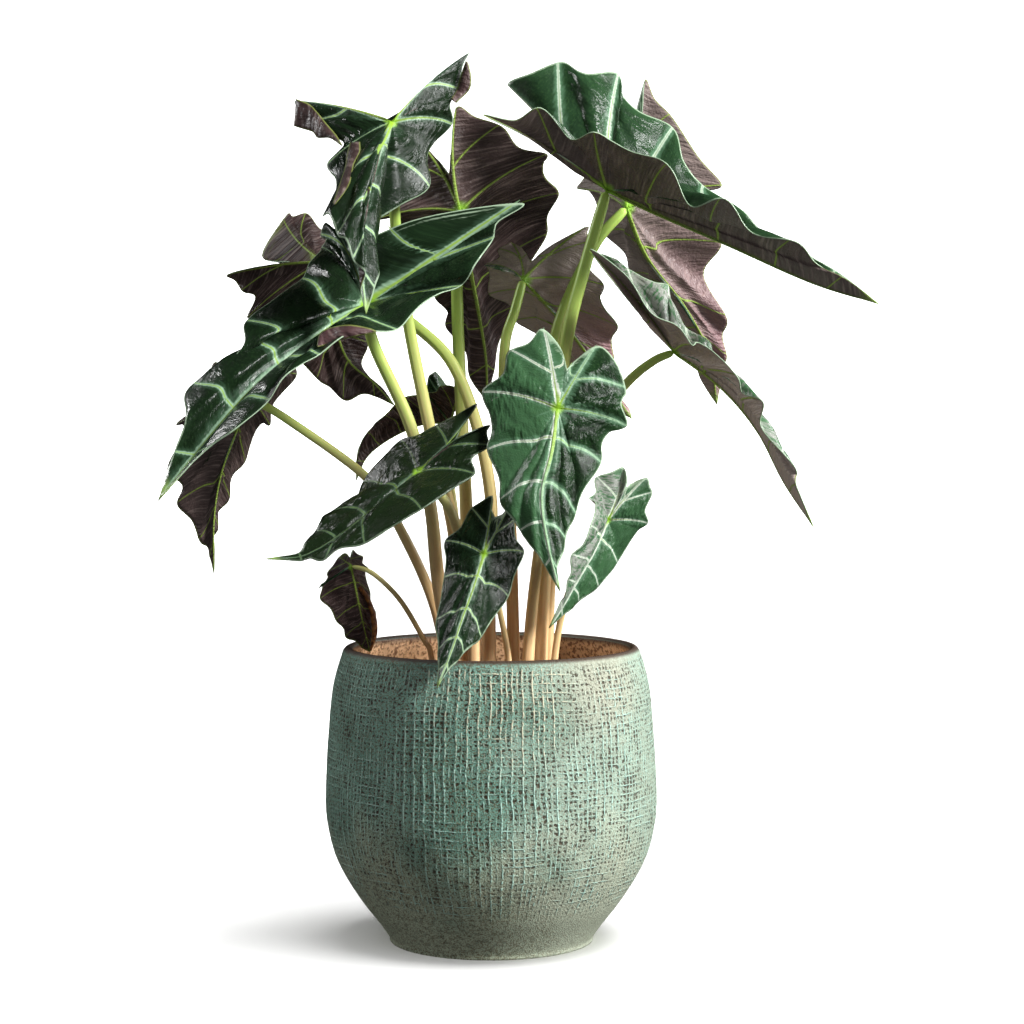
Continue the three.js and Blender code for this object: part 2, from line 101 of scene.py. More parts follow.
def linear(hexadecimal):
    """Linear red, green, blue and alpha of an sRGB hex colour."""
    channels = [int(hexadecimal[i:i + 2], 16) / 255 for i in (1, 3, 5)]
    return [c / 12.92 if c <= 0.04045 else ((c + 0.055) / 1.055) ** 2.4 for c in channels] + [1.0]


def new_material(name):
    """A new node material: itself, its tree and its principled shader."""
    material = bpy.data.materials.new(name)
    material.use_nodes = True
    tree = material.node_tree
    return material, tree, tree.nodes["Principled BSDF"]


def feed(node, inputs):
    """Gives sockets, by name or in order, a value or a link from another node's output."""
    for key, value in inputs.items() if isinstance(inputs, dict) else enumerate(inputs):
        if isinstance(value, bpy.types.NodeSocket):
            node.id_data.links.new(value, node.inputs[key])
        else:
            node.inputs[key].default_value = value


def add(tree, kind, inputs=(), **settings):
    """Adds a node of a kind, such as "Clamp" or "Math ADD", with its settings and links."""
    kind, _, operation = kind.partition(" ")
    node = tree.nodes.new("ShaderNode" + kind)
    if operation:
        node.operation = operation
    for name, value in settings.items():
        setattr(node, name, value)
    feed(node, inputs)
    return node.outputs


# %% Meshes that become objects
WELD = 0.02 * MM


def placed(mesh, name, materials):
    """Makes a bmesh a smooth-shaded object at the origin."""
    for face in mesh.faces:
        face.smooth = True
    data = bpy.data.meshes.new(name)
    mesh.to_mesh(data)
    mesh.free()
    for material in materials:
        data.materials.append(material)
    piece = bpy.data.objects.new(name, data)
    bpy.context.scene.collection.objects.link(piece)
    return piece


def spun(profile, sides):
    """A bmesh of a profile, given as radius and height, that is turned once round the axis."""
    mesh = bmesh.new()
    corners = [mesh.verts.new((radius, 0, height)) for radius, height in profile]
    edges = [mesh.edges.new(pair) for pair in zip(corners, corners[1:])]
    bmesh.ops.spin(mesh, geom=corners + edges, cent=(0, 0, 0), axis=(0, 0, 1), angle=2 * math.pi,
                   steps=sides, use_merge=True, use_duplicate=False)
    bmesh.ops.remove_doubles(mesh, verts=mesh.verts, dist=WELD)
    bmesh.ops.recalc_face_normals(mesh, faces=mesh.faces)
    return mesh


# %% Paper sweep
PAPER_RADIUS = 5.0
SWEEP_RADIUS = 1.2
SWEEP_STEPS = 12
PAPER_WALL = 4.0
PAPER_SIDES = 96
PAPER_WHITE = "#f7f7f6"

bend = np.linspace(0, math.pi / 2, SWEEP_STEPS + 1)
sweep = np.stack([PAPER_RADIUS + SWEEP_RADIUS * np.sin(bend), SWEEP_RADIUS * (1 - np.cos(bend))], -1)
wall_top = (PAPER_RADIUS + SWEEP_RADIUS, SWEEP_RADIUS + PAPER_WALL)
paper = spun([(0, 0), *sweep, wall_top], PAPER_SIDES)
for face in paper.faces:
    face.material_index = int(face.calc_center_median().z > MM)
floor_paint, _, floor_shader = new_material("white studio paper")
wall_paint, _, wall_shader = new_material("white studio paper, lit from behind")
for shader in (floor_shader, wall_shader):
    feed(shader, {"Base Color": linear(PAPER_WHITE), "Roughness": 0.9})
feed(wall_shader, {"Emission Color": linear("#ffffff"), "Emission Strength": 1.0})
paper_sheet = placed(paper, "studio_paper", (floor_paint, wall_paint))
paper_sheet.visible_glossy = False
paper_sheet.visible_diffuse = False
paper_sheet.visible_shadow = False
paper_sheet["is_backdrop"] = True
print("paper:", len(paper_sheet.data.polygons), "faces")

# %% Lights
WORLD_STRENGTH = 0.3
LAMP_TARGET = Vector((0.0, 0.0, 0.35))
KEY_PLACE = (1.75, -1.0, 1.75)
# each lamp: kind, place, energy, and its size in metres or for a sun in degrees
LAMPS = {
    "key_light": ("SUN", KEY_PLACE, 5.4, 16),
    "glint_light": ("SUN", KEY_PLACE, 1.7, 13),
    "left_strip": ("AREA", (-1.3, 0.4, 1.2), 10.0, 0.3),
    "right_strip": ("AREA", (1.3, 0.7, 1.1), 10.0, 0.5),
    "right_card": ("AREA", (1.3, -0.1, 0.62), 9.0, 0.35),
    "paper_light": ("SUN", (0.25, -1.0, 0.8), 2.6, 110),
    "shadow_light": ("SUN", (0.30, -0.09, 1.53), 4.7, 46),
}
PAPER_LAMPS = ("paper_light", "shadow_light")

world = bpy.data.worlds.new("studio")
world.use_nodes = True
feed(world.node_tree.nodes["Background"], {"Color": linear("#ffffff"), "Strength": WORLD_STRENGTH})
world.cycles_visibility.glossy = False
bpy.context.scene.world = world
paper_only = bpy.data.collections.new("paper_only")
all_but_paper = bpy.data.collections.new("all_but_paper")
for collection in (paper_only, all_but_paper):
    collection.objects.link(paper_sheet)
all_but_paper.collection_objects[0].light_linking.link_state = "EXCLUDE"
for name, (kind, place, energy, size) in LAMPS.items():
    light = bpy.data.lights.new(name, kind)
    light.energy = energy
    if kind == "SUN":
        light.angle = math.radians(size)
    else:
        light.size = size
    lamp = bpy.data.objects.new(name, light)
    lamp.location = place
    lamp.rotation_euler = (LAMP_TARGET - lamp.location).to_track_quat("-Z", "Y").to_euler()
    lamp.light_linking.receiver_collection = paper_only if name in PAPER_LAMPS else all_but_paper
    lamp.visible_glossy = name != "key_light"
    bpy.context.scene.collection.objects.link(lamp)
print("lights:", ", ".join(LAMPS))

# %% [markdown]
# ## Where the leaves are
# Each leaf is laid out as it is seen from the front: its midrib, the tip of each lobe and the
# ends of its side veins, as [right, down] in picture units of a 1024-unit picture, with a depth
# in mm behind the pot's axis. `lean` is how far a half goes back for each unit across, at the
# lobes, at the stalk and at the tip. These are the same places that carry the solid leaves.

# %% Leaf places
# how far a leaf's hollows lift and its left and right half swell, where it doesn't say otherwise
WAVE = 0.02
BULGE = (0.05, 0.05)
LEAVES = {}
LEAVES["top_left"] = dict(
    notch=(388, 119), foot=(-13, 0), radius=(5, 3.6), lean_left=(0.5, 0.6, 0.6),
    lean_right=(0.5, -0.4, -0.4), bulge=(0.04, 0.04), wave=0.03,
    rib=((392, 122, -20), (376, 158, -58), (361, 212, -95), (359, 250, -110), (366, 314, -122)),
    left=((432, 93), (468, 54), (458, 92), (452, 124), (429, 187), (367, 229), (374, 266), (374, 290)),
    right=((338, 119), (296, 101), (302, 128), (327, 165), (323, 216), (338, 236), (354, 262), (361, 292)),
    hollows_left=(None, None, (427, 153), (399, 206), (361, 247)),
    hollows_right=((304, 117), (344, 143), (337, 190)),
    stalk=((455, 540, 0), (430, 430, 2), (408, 321, 0), (396, 232, -4)))
LEAVES["wide_left"] = dict(
    notch=(357, 243), foot=(-18, -20), radius=(5.2, 3.8), lean_left=(0.1, -0.15, -0.5),
    lean_right=(0.8, 0.7, 0.4), bulge=(0, 0.08), wave=0.03,
    rib=((366, 304, -45), (315, 339, -85), (257, 385, -120), (213, 433, -142), (158, 501, -165)),
    left=((425, 217), (522, 203), (493, 240), (461, 286), (396, 330), (316, 357), (265, 405), (204, 452)),
    right=((345, 232), (330, 228), (321, 236), (322, 247), (302, 279), (245, 323), (189, 388), (173, 455)),
    hollows_left=((497, 224), (476, 265), (426, 303), (352, 334), (286, 377), (236, 430)),
    hollows_right=(None, None, (313, 260), (271, 303), (242, 350), (186, 418)),
    stalk=((440, 592, -19), (430, 505, -20), (410, 425, -24), (374, 345, -34)))
LEAVES["low_left"] = dict(
    notch=(252, 378), foot=(-26, -4), radius=(4, 2.8), lean_left=(0.3, 0.2, 0.2),
    lean_right=(0.5, 0.7, 0.6),
    rib=((250, 398, 0), (235, 435, 10), (221, 475, 20), (214, 520, 28), (214, 574, 36)),
    left=((228, 372), (215, 362), (195, 392), (176, 424), (167, 469), (177, 505), (200, 542), (210, 558)),
    right=((275, 365), (297, 350), (296, 377), (270, 425), (245, 462), (229, 500), (218, 530), (214.5, 552)),
    hollows_left=(None, None, None, (182, 486)),
    hollows_right=(None, (274, 404)),
    stalk=((435, 608, -3), (397, 523, 0), (366, 477, 2), (288, 420, 2)))
LEAVES["back_left"] = dict(
    notch=(290, 262), foot=(-2, 12), radius=(5, 3.6), lean_left=(0.1, 0.1, 0.1),
    lean_right=(0.7, 0.8, 0.6),
    rib=((324, 262, 45), (330, 305, 70), (346, 357, 95), (373, 382, 108), (395, 406, 116)),
    left=((252, 268), (227, 275), (243, 292), (247, 318), (275, 350), (318, 380), (346, 401), (376, 397)),
    right=((262, 256), (286, 216), (308, 214), (345, 235), (372, 290), (368, 345), (371, 379), (384, 390)),
    stalk=((489, 560, 14), (491, 500, 14), (477, 426, 14), (450, 360, 18), (407, 319, 30), (365, 287, 41)))
LEAVES["back_top"] = dict(
    notch=(449, 174), foot=(-9, 26), radius=(5.3, 4), lean_left=(0.2, 0.3, 0.3),
    lean_right=(0.1, 0.1, 0.2),
    rib=((460, 212, 50), (470, 268, 90), (479, 315, 122), (486, 360, 148), (487, 402, 166)),
    left=((436, 158), (415, 138), (395, 165), (379, 218), (405, 265), (436, 300), (446, 328), (470, 378)),
    right=((452, 140), (457, 107), (503, 127), (547, 154), (559, 193), (546, 237), (515, 310), (494, 372)),
    hollows_right=(None, (519, 147), (544, 174), (548, 216)),
    stalk=((471, 600, 26), (467, 530, 27), (465, 480, 29), (461, 400, 37), (457, 290, 46)))
LEAVES["back_centre"] = dict(
    notch=(531, 262), foot=(17, 10), radius=(4.4, 3.2), lean_left=(0.7, 0.6, 0.3),
    lean_right=(0.3, 0.3, 0.5),
    rib=((523, 280, 30), (545, 303, 48), (571, 333, 68), (598, 370, 86), (632, 419, 100)),
    left=((522, 248), (511, 243), (498, 250), (486, 264), (489, 294), (516, 322), (545, 352), (598, 400)),
    right=((550, 246), (586, 227), (594, 243), (604, 285), (618, 326), (615, 362), (622, 392), (629, 409)),
    hollows_right=(None, None, (603, 306)),
    stalk=((510, 500, 16), (504, 410, 20), (505, 345, 23), (515, 310, 26)))
LEAVES["front_centre"] = dict(
    notch=(567, 369), foot=(24, -20), radius=(4.4, 3), lean_left=(0.3, 0.3, 0.7),
    lean_right=(0.3, 0.2, 0.3),
    rib=((557.8, 408.4, -75), (552, 452, -88), (542, 495, -100), (548, 544, -108), (560, 592, -113)),
    left=((576, 360), (598, 346), (626, 391), (627, 426), (601, 463), (575, 516), (565, 541), (557, 570)),
    right=((560, 347), (542, 329), (508, 352), (482, 392), (487, 450), (500, 502), (522, 534), (546, 568)),
    hollows_left=((616, 363), (621, 404), (603, 440), (584, 489)),
    hollows_right=((529, 343), (503, 374), (492, 428), (499, 479), (511, 517), (535, 551)),
    stalk=((531, 620, -22), (540, 540, -30), (549, 470, -46)))
LEAVES["front_left"] = dict(
    notch=(456, 440), foot=(-12, -36), radius=(4.2, 3), lean_left=(0.2, -0.5, -0.6),
    lean_right=(0.3, 0.7, 0.6),
    rib=((418, 472, -70), (385, 498, -86), (345, 531, -102), (303, 556, -114), (266, 559, -120)),
    left=((466, 434), (489, 425), (488, 447), (475, 474), (421, 510), (362, 545), (322, 561), (298, 561)),
    right=((463, 424), (477, 404), (433, 427), (401, 440), (363, 482), (327, 514), (314, 533), (296, 554)),
    hollows_left=(None, None, (448, 493), (392, 528)),
    hollows_right=(None, None, (381, 460), (354, 506)),
    stalk=((472, 590, -40), (455, 522, -50), (441, 496, -58)))
LEAVES["front_low"] = dict(
    notch=(495, 517), foot=(16, -34), radius=(2.2, 1.8), lean_left=(0.4, 0.4, 0.2),
    lean_right=(0.4, 0.4, 0.3), wave=0.015,
    rib=((484, 554, -88), (474, 587, -100), (463, 617, -110), (452, 650, -119), (437, 688, -127)),
    left=((502, 514), (508, 508), (514, 522), (524, 552), (508, 597), (480, 639), (462, 655), (447, 672)),
    right=((492, 510), (492, 496), (470, 510), (445, 541), (444, 578), (436, 622), (438, 652), (438, 672)),
    hollows_left=(None, None, (513, 578)),
    hollows_right=(None, None, (446, 566)),
    stalk=((508, 655, -36), (499, 608, -46), (493, 578, -62)))
LEAVES["low_right"] = dict(
    notch=(626, 488), foot=(45, -14), radius=(2.6, 2), lean_left=(0.2, 0.6, 0.6),
    lean_right=(0.2, -0.6, -0.6), wave=0.015,
    rib=((607.5, 520, -40), (593, 553, -50), (576, 583, -57), (562, 608, -61), (549, 628, -63)),
    left=((634, 482), (647, 478), (652, 494), (648, 523), (617, 563), (597, 588), (577, 603), (561, 617)),
    right=((627, 478), (623, 467), (595, 478), (589, 498), (590, 526), (571, 556), (567, 582), (560, 603)),
    stalk=((555, 655, -14), (566, 600, -18), (585, 560, -24)))
LEAVES["small_rim"] = dict(
    notch=(350, 558), foot=(-38, -14), radius=(2, 1.6), lean_left=(0.2, 0.1, 0.1),
    lean_right=(0.6, 0.7, 0.5), wave=0.01,
    rib=((351, 566, -25), (355, 585, -23), (359, 605, -20), (364, 628, -16), (370, 652, -12)),
    left=((345, 553), (338, 558), (327, 573), (319, 588), (320, 599), (336, 621), (346, 638), (362, 648)),
    right=((352, 553), (353, 550), (363, 557), (368, 568), (370, 592), (376, 614), (374, 636), (372, 646)),
    stalk=((431, 655, -15), (424, 640, -16), (400, 600, -22), (372, 573, -28)))
LEAVES["back_low"] = dict(
    notch=(452, 408), foot=(-28, 16), radius=(3.4, 2.5), lean_left=(-0.5, -0.5, -0.5),
    lean_right=(0.5, 0.5, 0.5), bulge=(0, 0), wave=0.03,
    rib=((450, 424, 70), (425, 424, 75), (395, 436, 80), (368, 456, 84), (356, 481, 86)),
    left=((458, 402), (458, 390), (440, 386), (425, 393), (405, 397), (384, 416), (366, 434), (356, 462)),
    right=((450, 392), (437, 373), (428, 378), (418, 392), (402, 400), (382, 420), (365, 438), (356, 464)),
    stalk=((455, 600, 25), (456, 530, 36), (450, 475, 54)))
LEAVES["top_right"] = dict(
    notch=(575, 172), foot=(36, -4), radius=(5.5, 4), lean_left=(0.4, 0.5, 0.5),
    lean_right=(-0.7, -0.7, -0.6), bulge=(0.03, 0.03), wave=0.03,
    rib=((607, 190, 0), (652, 212, -8), (725, 244, -20), (812, 283, -34), (879, 304, -42)),
    left=((540, 105), (508, 85), (562, 62), (618, 74), (673, 128), (706, 188), (770, 238), (838, 272)),
    right=((528, 138), (484, 115), (541, 108), (594, 132), (667, 164), (725, 199), (796, 242), (845, 278)),
    hollows_left=((533, 73), (585, 74), (633, 108), (684, 163)),
    hollows_right=((515, 121), (570, 140), (628, 151), (690, 207), (752, 234), (816, 264)),
    stalk=((541, 640, -4), (552, 470, -6), (566, 345, -6), (584, 270, -5)))
LEAVES["back_right"] = dict(
    notch=(615, 180), foot=(33, 20), radius=(5, 3.6), lean_left=(0.5, 0.7, 0.5),
    lean_right=(0.2, 0.2, 0.4),
    rib=((626, 208, 50), (646, 256, 68), (684, 306, 90), (709, 354, 108), (717, 405, 122)),
    left=((600, 150), (590, 122), (572, 150), (577, 188), (603, 232), (632, 275), (668, 325), (700, 378)),
    right=((640, 125), (645, 80), (673, 118), (722, 185), (722, 243), (727, 318), (727, 358), (720, 388)),
    hollows_right=(None, (699, 157), None, (704, 275)),
    stalk=((541, 600, 20), (545, 440, 22), (556, 334, 28), (593, 248, 42)))
LEAVES["edge_right"] = dict(
    notch=(650, 328), foot=(43, 8), radius=(4.4, 2.8), lean_left=(0.6, 0.7, 0.7),
    lean_right=(-0.6, -0.8, -0.7), bulge=(0.03, 0.03), wave=0.03,
    rib=((673.7, 352, 5), (721, 388, -18), (757, 431, -38), (784, 483, -58), (814, 528, -72)),
    left=((628, 290), (600, 256), (630, 270), (668, 285), (686, 328), (716, 361), (760, 415), (797, 490)),
    right=((635, 309), (590, 250), (651, 313), (692, 345), (736, 375), (763, 402), (785, 456), (797, 487)),
    hollows_right=(None, None, None, (742, 394), (760, 427)),
    stalk=((548, 640, 8), (556, 520, 8), (580, 440, 8), (624, 386, 6), (652, 362, 4)))
print("leaves:", len(LEAVES))

# %% [markdown]
# ## One blade laid flat
# All blades share one pattern. The midrib is 1 long, from the stalk at (0, 0) to the tip at
# (0, 1). The side veins end at the points of the wavy edge, and the edge is hollow between them.
# A real blade could be sculpted one by one, but a pattern that every blade bends to its own
# places also carries the veins, the colours and the relief along.

# %% Flat pattern of the edge and the veins
NOTCH = (0.0, -0.165)
# places of one half's edge from the lobe to the tip, and whether the edge is hollow there
EDGE = (
    (0.075, -0.340, False), (0.135, -0.470, False), (0.205, -0.425, True), (0.280, -0.360, False),
    (0.300, -0.235, True), (0.410, -0.110, False), (0.370, 0.050, True), (0.400, 0.205, False),
    (0.335, 0.340, True), (0.325, 0.470, False), (0.235, 0.590, True), (0.200, 0.695, False),
    (0.112, 0.790, True), (0.065, 0.880, False),
)
LEAN_STATIONS = (-0.45, 0.1, 0.9)

# each vein: start, end, and half its width at both, of the pale band on the upper side
VEINS = (
    ((0.0, 0.0), (0.0, 1.0), 0.0135, 0.0040),
    ((0.0, 0.0), (0.135, -0.47), 0.0095, 0.0040),
    ((0.055, -0.19), (0.28, -0.36), 0.0055, 0.0030),
    ((0.060, -0.21), (0.036, -0.258), 0.0045, 0.0030),
    ((0.0, 0.0), (0.41, -0.11), 0.0075, 0.0032),
    ((0.0, 0.17), (0.40, 0.205), 0.0070, 0.0032),
    ((0.0, 0.42), (0.325, 0.47), 0.0062, 0.0030),
    ((0.0, 0.63), (0.20, 0.695), 0.0052, 0.0028),
    ((0.0, 0.82), (0.065, 0.88), 0.0040, 0.0025),
)
# side veins bow towards the stalk by BOW * across * (BOW_REACH - across)
BOW = 0.55
BOW_REACH = 0.41
print("veins in one half:", len(VEINS))

# %% [markdown]
# ## Bending the pattern
# `seen` turns a seen place into a point in space. A `Blade` reads one leaf's places, keeps its
# midrib and its edge, and answers where any point of the flat pattern lies. The blade swells
# between its veins like a quilt, as the real leaf does, and that relief is part of its shape.

# %% Places in space
FORWARD = (AIM - EYE) / np.linalg.norm(AIM - EYE)
UPWARD = np.array((0.0, -FORWARD[2], FORWARD[1]))
RIGHT = np.array((1.0, 0.0, 0.0))


def unit(vectors):
    """Vectors made 1 long."""
    return vectors / np.maximum(np.linalg.norm(vectors, axis=-1, keepdims=True), 1e-12)


def seen(right, down, depth):
    """Points that are seen at picture places and lie at depths in metres."""
    right, down, depth = (np.asarray(value, float)[..., None] for value in (right, down, depth))
    ray = FORWARD * PICTURE_DISTANCE + RIGHT * (right - PICTURE_MIDDLE) + UPWARD * (PICTURE_MIDDLE - down)
    return EYE + ray * (depth - EYE[1]) / ray[..., 1:2]


def smooth_line(points, count):
    """count points on a Catmull-Rom curve through the given ones."""
    points = np.asarray(points, float)
    ends = np.vstack([2 * points[0] - points[1], points, 2 * points[-1] - points[-2]])
    at = np.linspace(0, len(points) - 1, count)
    span = np.minimum(at.astype(int), len(points) - 2)
    t = (at - span)[:, None]
    p0, p1, p2, p3 = (ends[span + k] for k in range(4))
    return p1 + t * (p2 - p0) / 2 + t**2 * (p0 - 2.5 * p1 + 2 * p2 - p3 / 2) + t**3 * (
        1.5 * (p1 - p2) + (p3 - p0) / 2)


def run_along(points):
    """Distances along a line, from 0 at its first point."""
    return np.concatenate([[0], np.cumsum(np.linalg.norm(np.diff(points, axis=0), axis=1))])


def vein_reach(across, along):
    """Distance from the nearest vein, in parts of the midrib's length, and that vein's direction."""
    hand = np.where(across < 0, -1.0, 1.0)
    across = np.abs(across)
    along = along + BOW * across * (BOW_REACH - across)
    nearest = np.full(np.shape(across), np.inf)
    line = np.zeros(np.shape(across) + (2,))
    for (x0, y0), (x1, y1), _, _ in VEINS:
        dx, dy = x1 - x0, y1 - y0
        share = np.clip(((across - x0) * dx + (along - y0) * dy) / (dx * dx + dy * dy), 0, 1)
        reach = np.hypot(across - x0 - share * dx, along - y0 - share * dy)
        closer = reach < nearest
        nearest = np.where(closer, reach, nearest)
        here = np.stack([hand * dx, np.full(np.shape(across), dy)], -1)
        line = np.where(closer[..., None], here, line)
    return nearest, unit(line)


# %% The bent blade
RIB_POINTS = 241
EDGE_STEPS = 8
SLOPE_STEP = 0.006
NARROWEST, WIDEST = 0.6, 9.0
QUILT_HEIGHT = 0.015
QUILT_WIDTH = 0.05
QUILT_SLOPE = 0.12
CRINKLE_HEIGHT = 0.0032
CRINKLES_ACROSS, CRINKLES_ALONG, CRINKLE_WANDER = 62, 31, 19
EDGE_FLATNESS = 0.75


class Blade:
    """The middle surface of one leaf, asked by places on the flat pattern."""

    def __init__(self, leaf, phase):
        self.leaf = leaf
        self.phase = phase
        self.rib = smooth_line([seen(r, d, z * MM) for r, d, z in leaf["rib"]], RIB_POINTS)
        run = run_along(self.rib)
        self.length = run[-1]
        self.rib_share = run / self.length
        lean = (leaf["lean_left"][0] + leaf["lean_right"][0]) / 2
        notch = seen(*leaf["notch"], self.rib[0][1] - lean * NOTCH[1] * self.length) - self.rib[0]
        left = self.edge_arms("left", -1)
        right = self.edge_arms("right", 1)
        middle = [(0.0, 1.0, 0.0, 0.0, 0.0)]
        ends = [(0.0, NOTCH[1], *notch)]
        half_left = smooth_line(ends + left + middle, (len(left) + 1) * EDGE_STEPS + 1)
        half_right = smooth_line(middle + right[::-1] + ends, (len(right) + 1) * EDGE_STEPS + 1)
        edge = np.vstack([half_left[:-1], half_right])
        self.across, self.along, self.arms = edge[:, 0], edge[:, 1], edge[:, 2:]
        turn = np.arctan2(self.across, self.along)
        turn[0], turn[-1] = -math.pi, math.pi
        self.turn = np.maximum.accumulate(turn)

    def rib_at(self, share):
        """Points of the midrib at shares of its length."""
        return np.stack([np.interp(share, self.rib_share, self.rib[:, k]) for k in range(3)], -1)

    def rib_direction(self, share):
        """The midrib's direction at shares of its length."""
        return unit(self.rib_at(np.minimum(share + 0.01, 1)) - self.rib_at(np.maximum(share - 0.01, 0)))

    def edge_arms(self, side, hand):
        """Rows of across, along and the arm from the midrib to the edge, for one half."""
        rows = [None] * len(EDGE)
        ends = [i for i, (_, _, hollow) in enumerate(EDGE) if not hollow]
        hollows = [i for i, (_, _, hollow) in enumerate(EDGE) if hollow]
        hollow_places = dict(zip(hollows, self.leaf.get("hollows_" + side, ())))
        reach = [math.hypot(x, y) if y < 0 else x for x, y, _ in EDGE]
        feet = [self.rib_at(max(y, 0)) for _, y, _ in EDGE]
        lean = [np.interp(y, LEAN_STATIONS, self.leaf["lean_" + side]) for _, y, _ in EDGE]
        depths = [foot[1] + slope * far * self.length for foot, slope, far in zip(feet, lean, reach)]
        for i, (right, down) in zip(ends, self.leaf[side]):
            rows[i] = seen(right, down, depths[i]) - feet[i]
        lift = self.leaf.get("wave", WAVE) * self.length
        for i in hollows:
            arm = (rows[i - 1] + rows[i + 1]) * reach[i] / (reach[i - 1] + reach[i + 1])
            upward = unit(np.cross(arm, self.rib_direction(max(EDGE[i][1], 0)))) * hand
            rows[i] = arm + upward * lift
            if hollow_places.get(i):
                rows[i] = seen(*hollow_places[i], depths[i] + np.sign(upward[1]) * lift) - feet[i]
        return [(hand * x, y, *row) for (x, y, _), row in zip(EDGE, rows)]

    def relief(self, across, along, share):
        """Height of the quilting and the crinkles above the middle surface."""
        reach, _ = vein_reach(across, along)
        swell = 1 - np.exp(-((reach / QUILT_WIDTH) ** 2))
        wander = 3 * np.sin(CRINKLE_WANDER * along + self.phase)
        crinkle = np.sin(CRINKLES_ACROSS * np.abs(across) + wander + self.phase)
        crinkle = crinkle * np.sin(CRINKLES_ALONG * along + 4 * across + 2 * self.phase)
        height = (QUILT_HEIGHT + CRINKLE_HEIGHT * crinkle) * swell
        height = np.minimum(height, QUILT_SLOPE * np.abs(across))
        return height * self.length * (1 - EDGE_FLATNESS * share**4)

    def plain(self, across, along):
        """Points of the blade without its relief, and their share of the way to the edge."""
        turn = np.arctan2(across, along)
        edge_across, edge_along, *arm = (
            np.interp(turn, self.turn, row) for row in (self.across, self.along, *self.arms.T))
        arm = np.stack(arm, -1)
        share = np.hypot(across, along) / np.hypot(edge_across, edge_along)
        rib_share = np.maximum(edge_along * share, 0)
        point = self.rib_at(rib_share) + arm * share[..., None]
        upward = unit(np.cross(arm, self.rib_direction(rib_share))) * np.sign(across)[..., None]
        bulge_left, bulge_right = self.leaf.get("bulge", BULGE)
        bulge = np.where(across > 0, bulge_right, bulge_left)
        bulge = bulge * np.minimum(1, np.abs(edge_across) / 0.05) * 4 * share * (1 - share)
        return point + upward * (bulge * np.linalg.norm(arm, axis=-1))[..., None], share

    def edge_gap(self, across, along):
        """Distances to the nearest place of the edge."""
        gaps = [np.hypot(across - x, along - y) for x, y in zip(self.across, self.along)]
        return np.min(gaps, axis=0) * self.length

    def slopes(self, across, along):
        """How far the blade goes for each step across and for each step along."""
        step = SLOPE_STEP
        outward = self.plain(across + step, along)[0] - self.plain(across - step, along)[0]
        onward = self.plain(across, along + step)[0] - self.plain(across, along - step)[0]
        return outward / (2 * step), onward / (2 * step)

    def upward(self, across, along):
        """Directions out of the upper side."""
        return unit(np.cross(*self.slopes(across, along)))

    def spread(self, across, along):
        """How much wider than on the flat pattern the blade is, square to the nearest vein."""
        outward, onward = self.slopes(across, along)
        _, line = vein_reach(across, along)
        run = outward * line[..., :1] + onward * line[..., 1:]
        area = np.linalg.norm(np.cross(outward, onward), axis=-1)
        return np.clip(area / np.linalg.norm(run, axis=-1) / self.length, NARROWEST, WIDEST)

    def point(self, across, along):
        """Points of the blade with its relief."""
        plain, share = self.plain(across, along)
        height = self.relief(across, along, share)
        return plain + self.upward(across, along) * height[..., None]


blades = {name: Blade(leaf, phase) for phase, (name, leaf) in enumerate(LEAVES.items())}
print("midribs, mm:", {name: round(blade.length / MM) for name, blade in blades.items()})

# %% [markdown]
# ## Leaf skin
# The upper side is living leaf tissue under a thick waxy cuticle: nearly black green, glossy,
# with pale mint veins whose edges feather out and a pale line round the margin. The underside
# has the same veins in lime on purple-brown. Both skins read the flat pattern from the blade's
# UV map, so the painted veins follow the bent ones. Painting them by hand would need an image,
# so the shader measures the distance to each vein instead.

# %% Vein pattern for the shaders
FLAT_MAP = "flat"
SPREAD = "spread"
EDGE_GAP = "edge_gap_mm"
RED_AND_BACKLIGHT = "red_and_backlight"
PAINTED_LIGHT = "painted_light"
PAINTED_SHADE = "painted_shade"


def vein_nodes(tree):
    """The mirrored place on the pattern, and distances: from the veins in half widths of a vein,
    from the stalk and from the tip."""
    parts = add(tree, "SeparateXYZ", [add(tree, "UVMap", uv_map=FLAT_MAP)[0]])
    across = add(tree, "Math ABSOLUTE", [parts["X"]])[0]
    room = add(tree, "Math SUBTRACT", [BOW_REACH, across])[0]
    bow = add(tree, "Math MULTIPLY", [across, room])[0]
    along = add(tree, "Math MULTIPLY_ADD", [bow, BOW, parts["Y"]])[0]
    place = add(tree, "CombineXYZ", [across, along])[0]
    nearest = None
    for (x0, y0), (x1, y1), wide, narrow in VEINS:
        line = Vector((x1 - x0, y1 - y0, 0))
        offset = add(tree, "VectorMath SUBTRACT", [place, (x0, y0, 0)])[0]
        share = add(tree, "VectorMath DOT_PRODUCT", [offset, line / line.length_squared])["Value"]
        share = add(tree, "Clamp", [share])[0]
        gap = add(tree, "VectorMath MULTIPLY_ADD", [share, -line, offset])[0]
        gap = add(tree, "VectorMath LENGTH", [gap])["Value"]
        width = add(tree, "Math MULTIPLY_ADD", [share, narrow - wide, wide])[0]
        reach = add(tree, "Math DIVIDE", [gap, width])[0]
        nearest = reach if nearest is None else add(tree, "Math MINIMUM", [nearest, reach])[0]
    spread = add(tree, "Attribute", attribute_name=SPREAD)["Fac"]
    reach = add(tree, "Math MULTIPLY", [nearest, spread])[0]
    heart = add(tree, "VectorMath LENGTH", [place])["Value"]
    tip = add(tree, "VectorMath DISTANCE", [place, (0.0, 1.0, 0.0)])["Value"]
    return place, reach, heart, tip


def speckle(tree, place, scale, stretch=(1, 1, 1), detail=3.0):
    """Noise from 0 to 1, finer for a larger scale and drawn out where the stretch is small."""
    place = add(tree, "VectorMath MULTIPLY", [place, stretch])[0]
    return add(tree, "TexNoise", {"Vector": place, "Scale": scale, "Detail": detail})["Fac"]


